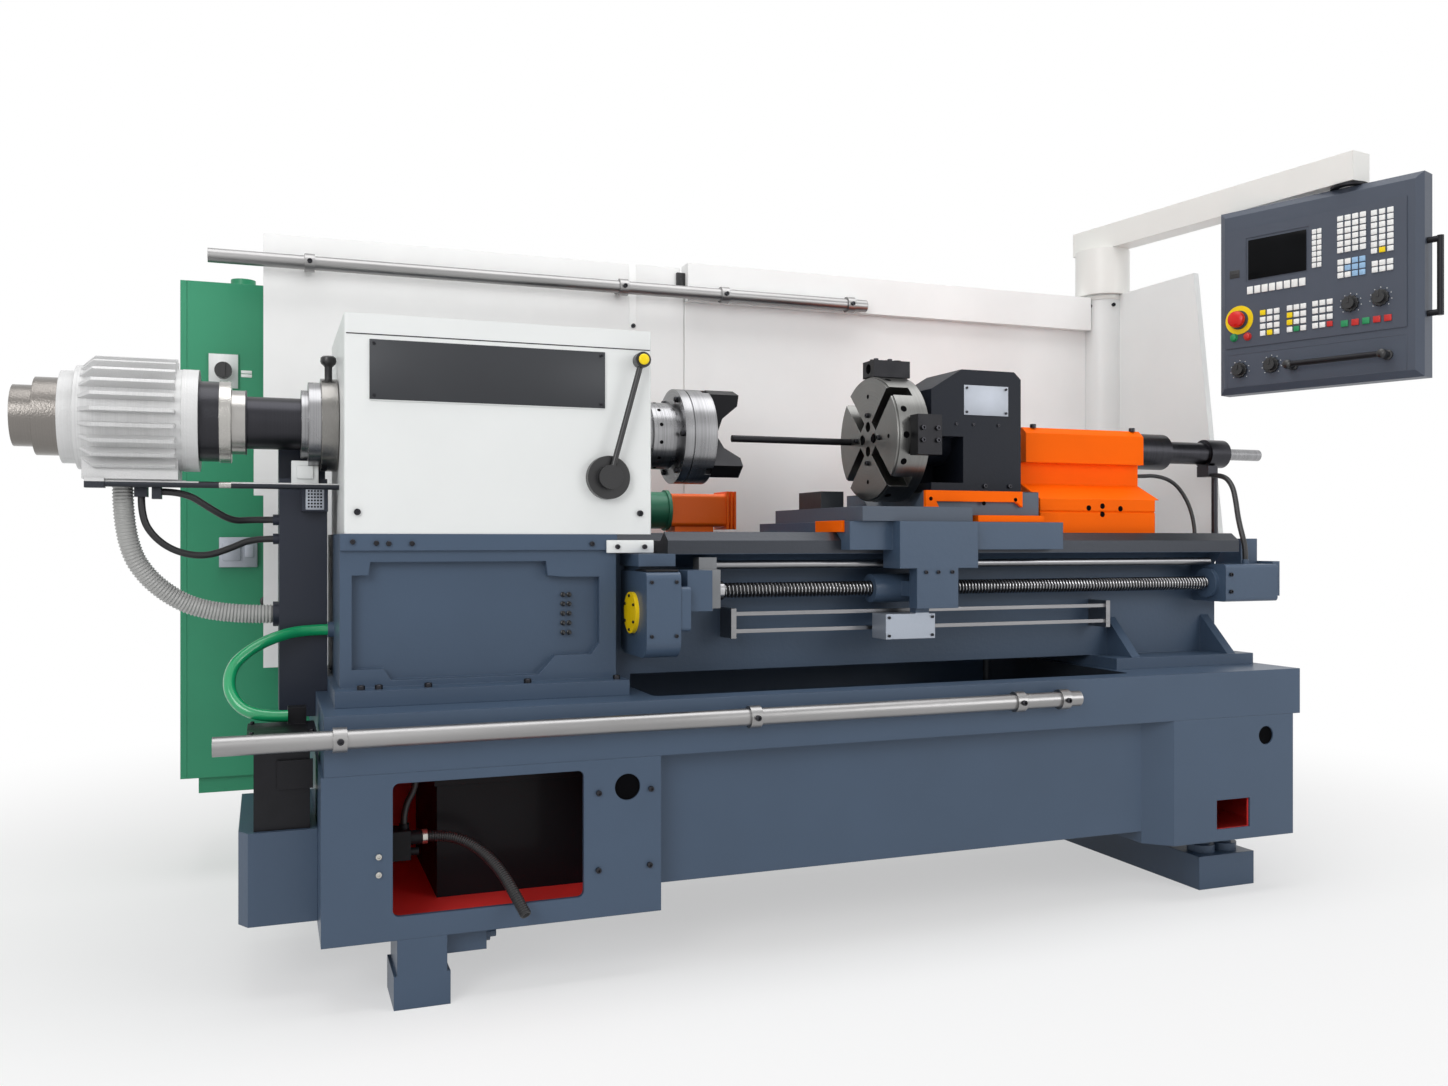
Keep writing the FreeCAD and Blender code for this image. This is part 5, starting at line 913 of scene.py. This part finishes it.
# Each block of keys: two corners as shares of the face, rows, columns and half a key's size in mm.
KEY_BLOCKS = (
    ((0.155, 0.420), (0.463, 0.480), 1, 8, 9.6, 12.0), ((0.490, 0.187), (0.540, 0.390), 7, 2, 6.4, 7.2),
    ((0.611, 0.145), (0.753, 0.339), 6, 4, 8.6, 7.8), ((0.768, 0.149), (0.879, 0.371), 7, 3, 8.6, 7.8),
    ((0.613, 0.366), (0.750, 0.467), 3, 4, 8.6, 8.2), ((0.773, 0.403), (0.876, 0.466), 2, 3, 8.6, 7.8),
    ((0.223, 0.562), (0.332, 0.709), 4, 3, 8.6, 8.2), ((0.363, 0.558), (0.466, 0.709), 4, 3, 8.6, 8.2),
    ((0.490, 0.555), (0.596, 0.707), 4, 3, 8.6, 8.2), ((0.624, 0.676), (0.874, 0.718), 1, 5, 10.5, 9.5))
# The keys that aren't white: for each colour, (block, number in it).
KEY_COLOURS = {
    "key_blue": ((4, 2), (4, 3), (4, 5), (4, 6), (4, 7), (4, 10), (4, 11)),
    "yellow": ((3, 19), (6, 0), (6, 10), (7, 3), (7, 6)),
    "key_green": ((7, 10), (9, 0), (9, 2)),
    "key_red": ((8, 11), (9, 1), (9, 3), (9, 4)),
}
ODD_KEYS = {key: colour for colour, keys in KEY_COLOURS.items() for key in keys}


def panel_place(across, up, out):
    """A place in the panel's own frame: shares of its width and height, and mm in front of its face."""
    return Vector((PANEL_WIDTH * across + PANEL_LEFT, PANEL_FACE - out / 1000, PANEL_TOP - PANEL_HEIGHT * up))


def panel_block(maker, first, last, near, far, soft):
    """A block on the panel between two places on its face and two heights above it."""
    a, b = panel_place(*first, near), panel_place(*last, far)
    low = Vector((min(a.x, b.x), min(a.y, b.y), min(a.z, b.z)))
    high = Vector((max(a.x, b.x), max(a.y, b.y), max(a.z, b.z)))
    maker.block(low, high, soft, PANEL)


def panel_keycaps():
    """Blank keys, one piece for each colour."""
    caps = {}
    for index, (first, last, rows, columns, half_width, half_height) in enumerate(KEY_BLOCKS):
        half_x, half_z = half_width / 1000 / PANEL_WIDTH, half_height / 1000 / PANEL_HEIGHT
        for row in range(rows):
            for column in range(columns):
                a = first[0] + (last[0] - first[0]) * (column + 0.5) / columns
                b = first[1] + (last[1] - first[1]) * (row + 0.5) / rows
                colour = ODD_KEYS.get((index, row * columns + column), "key_white")
                maker = caps.setdefault(colour, Maker("caps_" + colour))
                panel_block(maker, (a - half_x, b - half_z), (a + half_x, b + half_z), KEY_ROOT, KEY_TOP,
                            KEY_SOFT)
    for colour, maker in caps.items():
        maker.done(colour, "panel", "grey_plastic")


# Each knob: body, place as shares of the face, height of its seat in mm.
KNOBS = (("override_1", 0.677, 0.60, 3.4), ("override_2", 0.816, 0.592, 3.4),
         ("selector_1", 0.116, 0.873, 0.4), ("selector_2", 0.284, 0.864, 0.4))
SKIRT_RIBS, SKIRT_RADIUS = 12, 0.0225
TICKS, FIRST_TICK, TICK_STEP, TICK_RADIUS = 9, -45, 33.75, 0.031


def panel_knobs(out):
    """Ribbed skirts that turn with the knobs, and the ticks around them on the panel."""
    across_way = PANEL.to_3x3() @ X_AXIS

    def way(degrees):
        angle = math.radians(degrees)
        return across_way * math.cos(angle) + Z_AXIS * math.sin(angle)

    ticks = Maker("knob_ticks")
    for body, across, up, seat in KNOBS:
        centre = PANEL @ panel_place(across, up, seat)
        skirt = Maker(body + "_skirt")
        skirt.pipe(centre, out, 9, 23.5, 16.8, 36)
        for number in range(SKIRT_RIBS):
            place = centre + way(360 / SKIRT_RIBS * number) * SKIRT_RADIUS + out * 0.0004
            skirt.lathe(place, out, [(0, 3.2), (8, 3.0), (8.8, 2.2)], 10)
        skirt.done("plastic", body, "black_plastic")
        root = PANEL @ panel_place(across, up, seat - 0.4)
        for number in range(TICKS):
            place = root + way(FIRST_TICK + TICK_STEP * number) * TICK_RADIUS
            ticks.lathe(place, out, [(-0.5, 1.5), (0.3, 1.5), (0.5, 1.1)], 8)
    ticks.done("key_white", "panel", "grey_plastic")


def panel_turned(name, places, out, profile, around, look, body, slot):
    """The same turned form at each place on the panel's face."""
    maker = Maker(name)
    for place in places:
        maker.lathe(PANEL @ panel_place(*place), out, profile, around)
    maker.done(look, body, slot)


def panel_face():
    """The screen, card slot, outline, stop, knobs, handle bosses and buttons."""
    out = (PANEL.to_3x3() @ TO_FRONT).normalized()
    maker = Maker("screen_glass")
    panel_block(maker, (0.163, 0.180), (0.462, 0.392), 3, 4.2, 0.4)
    maker.done("screen", "panel", "black_plastic")
    maker = Maker("card_slot")
    panel_block(maker, (0.063, 0.328), (0.116, 0.371), 2.8, 4.4, 0.6)
    panel_block(maker, (0.070, 0.344), (0.109, 0.354), 4.3, 5.2, 0.3)
    maker.done("plastic", "panel", "black_plastic")
    maker = Maker("lower_outline")
    for first, last in (((0.045, 0.785), (0.932, 0.789)), ((0.045, 0.961), (0.932, 0.965)),
                        ((0.045, 0.785), (0.049, 0.965)), ((0.928, 0.785), (0.932, 0.965))):
        panel_block(maker, first, last, -0.2, 0.7, 0.2)
    maker.done("keys_plate", "panel", "panel_paint")
    maker = Maker("stop_disc")
    maker.pipe(PANEL @ panel_place(*STOP, 2.8), out, 2.2, 46, 30.2, 40)
    maker.done("yellow", "panel", "grey_plastic")
    panel_knobs(out)
    panel_turned("stop_cap", [(*STOP, 15)], out,
                 [(0, 21), (1, 25.5), (10, 27), (17, 25), (20, 19), (21.5, 9)],
                 40, "red", "stop_button", "red_plastic")
    panel_turned("handle_bosses", [(0.396, 0.88, -0.5), (0.846, 0.88, -0.5)], out,
                 [(0, 15), (7, 15), (11, 11), (30, 10), (34, 13), (42, 14.5), (50, 13), (54, 8)],
                 24, "plastic", "panel", "black_plastic")
    button = [(0, 13), (3, 13), (4, 12), (4, 10), (9, 10), (10.5, 8)]
    panel_turned("start_button", [(0.087, 0.694, 2.6)], out, button, 24, "key_green", "panel", "grey_plastic")
    panel_turned("halt_button", [(0.160, 0.697, 2.6)], out, button, 24, "key_red", "panel", "grey_plastic")
    maker = Maker("panel_swivel_plate")
    maker.pipe(at(*PANEL_PIVOT, 2070.2), Z_AXIS, 9, 52, 30.6, 40)
    maker.done("black_steel", "panel", "black_steel")


def details():
    for name, body, way, radius, places in SCREW_SETS:
        screws(name, places, way, radius, body)
    screw_circles()
    round_holes()
    fittings()
    cover_plates()
    grille_holes()
    ball_screw()
    panel_keycaps()
    panel_face()


# ---------------------------------------------------------------- studio

CAMERA_PLACE = (-106, -2631.5, 1000)
CAMERA_TURN = 20.88
LENS, SENSOR = 29.83, 36
HORIZON_SHIFT = -0.0017

FLOOR_RADIUS = 14
FLOOR_DROP = 0.0005
FLOOR_GREY = (0.86, 0.86, 0.86, 1)
# The floor's distances in metres, and its shares of white there.
FLOOR_FADE = (1.5, 3.8, 0.5, 1.0)

AMBIENT = 0.52
SKY_LOW, SKY_HIGH, SKY_HIGH_FROM = (0.55, 0.56, 0.58, 1), (1, 1, 1, 1), 0.65

# Each lamp: name, place, aim, size, watts.
LAMPS = (
    ("overhead", (0, -0.6, 4.6), (0, 0.1, 0.8), (5.0, 2.6), 98),
    ("front_left", (-3.6, -4.2, 2.9), (-0.4, 0, 0.9), (2.2, 2.6), 86),
    ("front_right", (3.4, -4.6, 2.4), (0.6, 0, 0.9), (2.4, 2.2), 58),
)


def camera():
    data = bpy.data.cameras.new("camera")
    data.lens = LENS
    data.sensor_width = SENSOR
    data.shift_y = HORIZON_SHIFT
    piece = new_piece("camera", data)
    piece.location = at(*CAMERA_PLACE)
    piece.rotation_euler = (math.radians(90), 0, math.radians(-CAMERA_TURN))
    bpy.context.scene.camera = piece


def seen_ray(tree):
    """1 for the rays that the camera, metal and glass see by, 0 for those that light the object."""
    rays = new_node(tree, "ShaderNodeLightPath").outputs
    total = rays["Is Camera Ray"]
    for kind in ("Is Glossy Ray", "Is Transmission Ray"):
        total = new_node(tree, "ShaderNodeMath", {0: total, 1: rays[kind]}, operation="MAXIMUM").outputs[0]
    return total


def mix_to(tree, share, first, second, out):
    """Mix two shaders by a share and give the result to an output."""
    mix = new_node(tree, "ShaderNodeMixShader", {0: share, 1: first.outputs[0], 2: second.outputs[0]})
    new_node(tree, out, {"Surface": mix.outputs[0]})


def floor():
    """A pale floor that fades into the white background and keeps the shadow."""
    mesh = bmesh.new()
    bmesh.ops.create_circle(mesh, cap_ends=True, segments=96, radius=FLOOR_RADIUS)
    data = bpy.data.meshes.new("floor")
    mesh.to_mesh(data)
    mesh.free()
    piece = new_piece("floor", data)
    piece.location = (0, 0, -FLOOR_DROP)
    material = bpy.data.materials.new("pale_floor")
    material.use_nodes = True
    tree = material.node_tree
    tree.nodes.clear()
    cloth = new_node(tree, "ShaderNodeBsdfDiffuse", {"Color": FLOOR_GREY})
    white = new_node(tree, "ShaderNodeEmission", {"Strength": 1.0})
    place = new_node(tree, "ShaderNodeTexCoord").outputs["Object"]
    away = new_node(tree, "ShaderNodeVectorMath", {0: place}, operation="LENGTH").outputs["Value"]
    far = new_node(tree, "ShaderNodeMapRange", {"Value": away, **dict(zip(MAP_SOCKETS, FLOOR_FADE))},
                   interpolation_type="SMOOTHSTEP").outputs["Result"]
    seen = new_node(tree, "ShaderNodeMath", {0: far, 1: seen_ray(tree)}, operation="MULTIPLY").outputs[0]
    mix_to(tree, seen, cloth, white, "ShaderNodeOutputMaterial")
    data.materials.append(material)


def world():
    """White to the camera, soft grey to the object, darker low down so that metal shows form."""
    data = bpy.data.worlds.new("studio")
    bpy.context.scene.world = data
    data.use_nodes = True
    tree = data.node_tree
    tree.nodes.clear()
    seen = new_node(tree, "ShaderNodeBackground", {"Color": (1, 1, 1, 1), "Strength": 1.0})
    place = new_node(tree, "ShaderNodeTexCoord").outputs["Generated"]
    height = new_node(tree, "ShaderNodeSeparateXYZ", {0: place}).outputs[2]
    ramp = new_node(tree, "ShaderNodeValToRGB", {0: height})
    low, high = ramp.color_ramp.elements
    low.position, low.color = 0.0, SKY_LOW
    high.position, high.color = SKY_HIGH_FROM, SKY_HIGH
    soft = new_node(tree, "ShaderNodeBackground", {"Color": ramp.outputs[0], "Strength": AMBIENT})
    mix_to(tree, seen_ray(tree), soft, seen, "ShaderNodeOutputWorld")


def lamps():
    for name, place, aim, size, energy in LAMPS:
        data = bpy.data.lights.new(name, "AREA")
        data.shape = "RECTANGLE"
        data.size, data.size_y = size
        data.energy = energy
        piece = new_piece(name, data)
        piece.location = place
        piece.rotation_euler = (Vector(aim) - Vector(place)).to_track_quat("-Z", "Y").to_euler()


camera()
floor()
world()
lamps()
bpy.context.scene.view_settings.view_transform = "Standard"
dress_nodes()
hoses()
details()
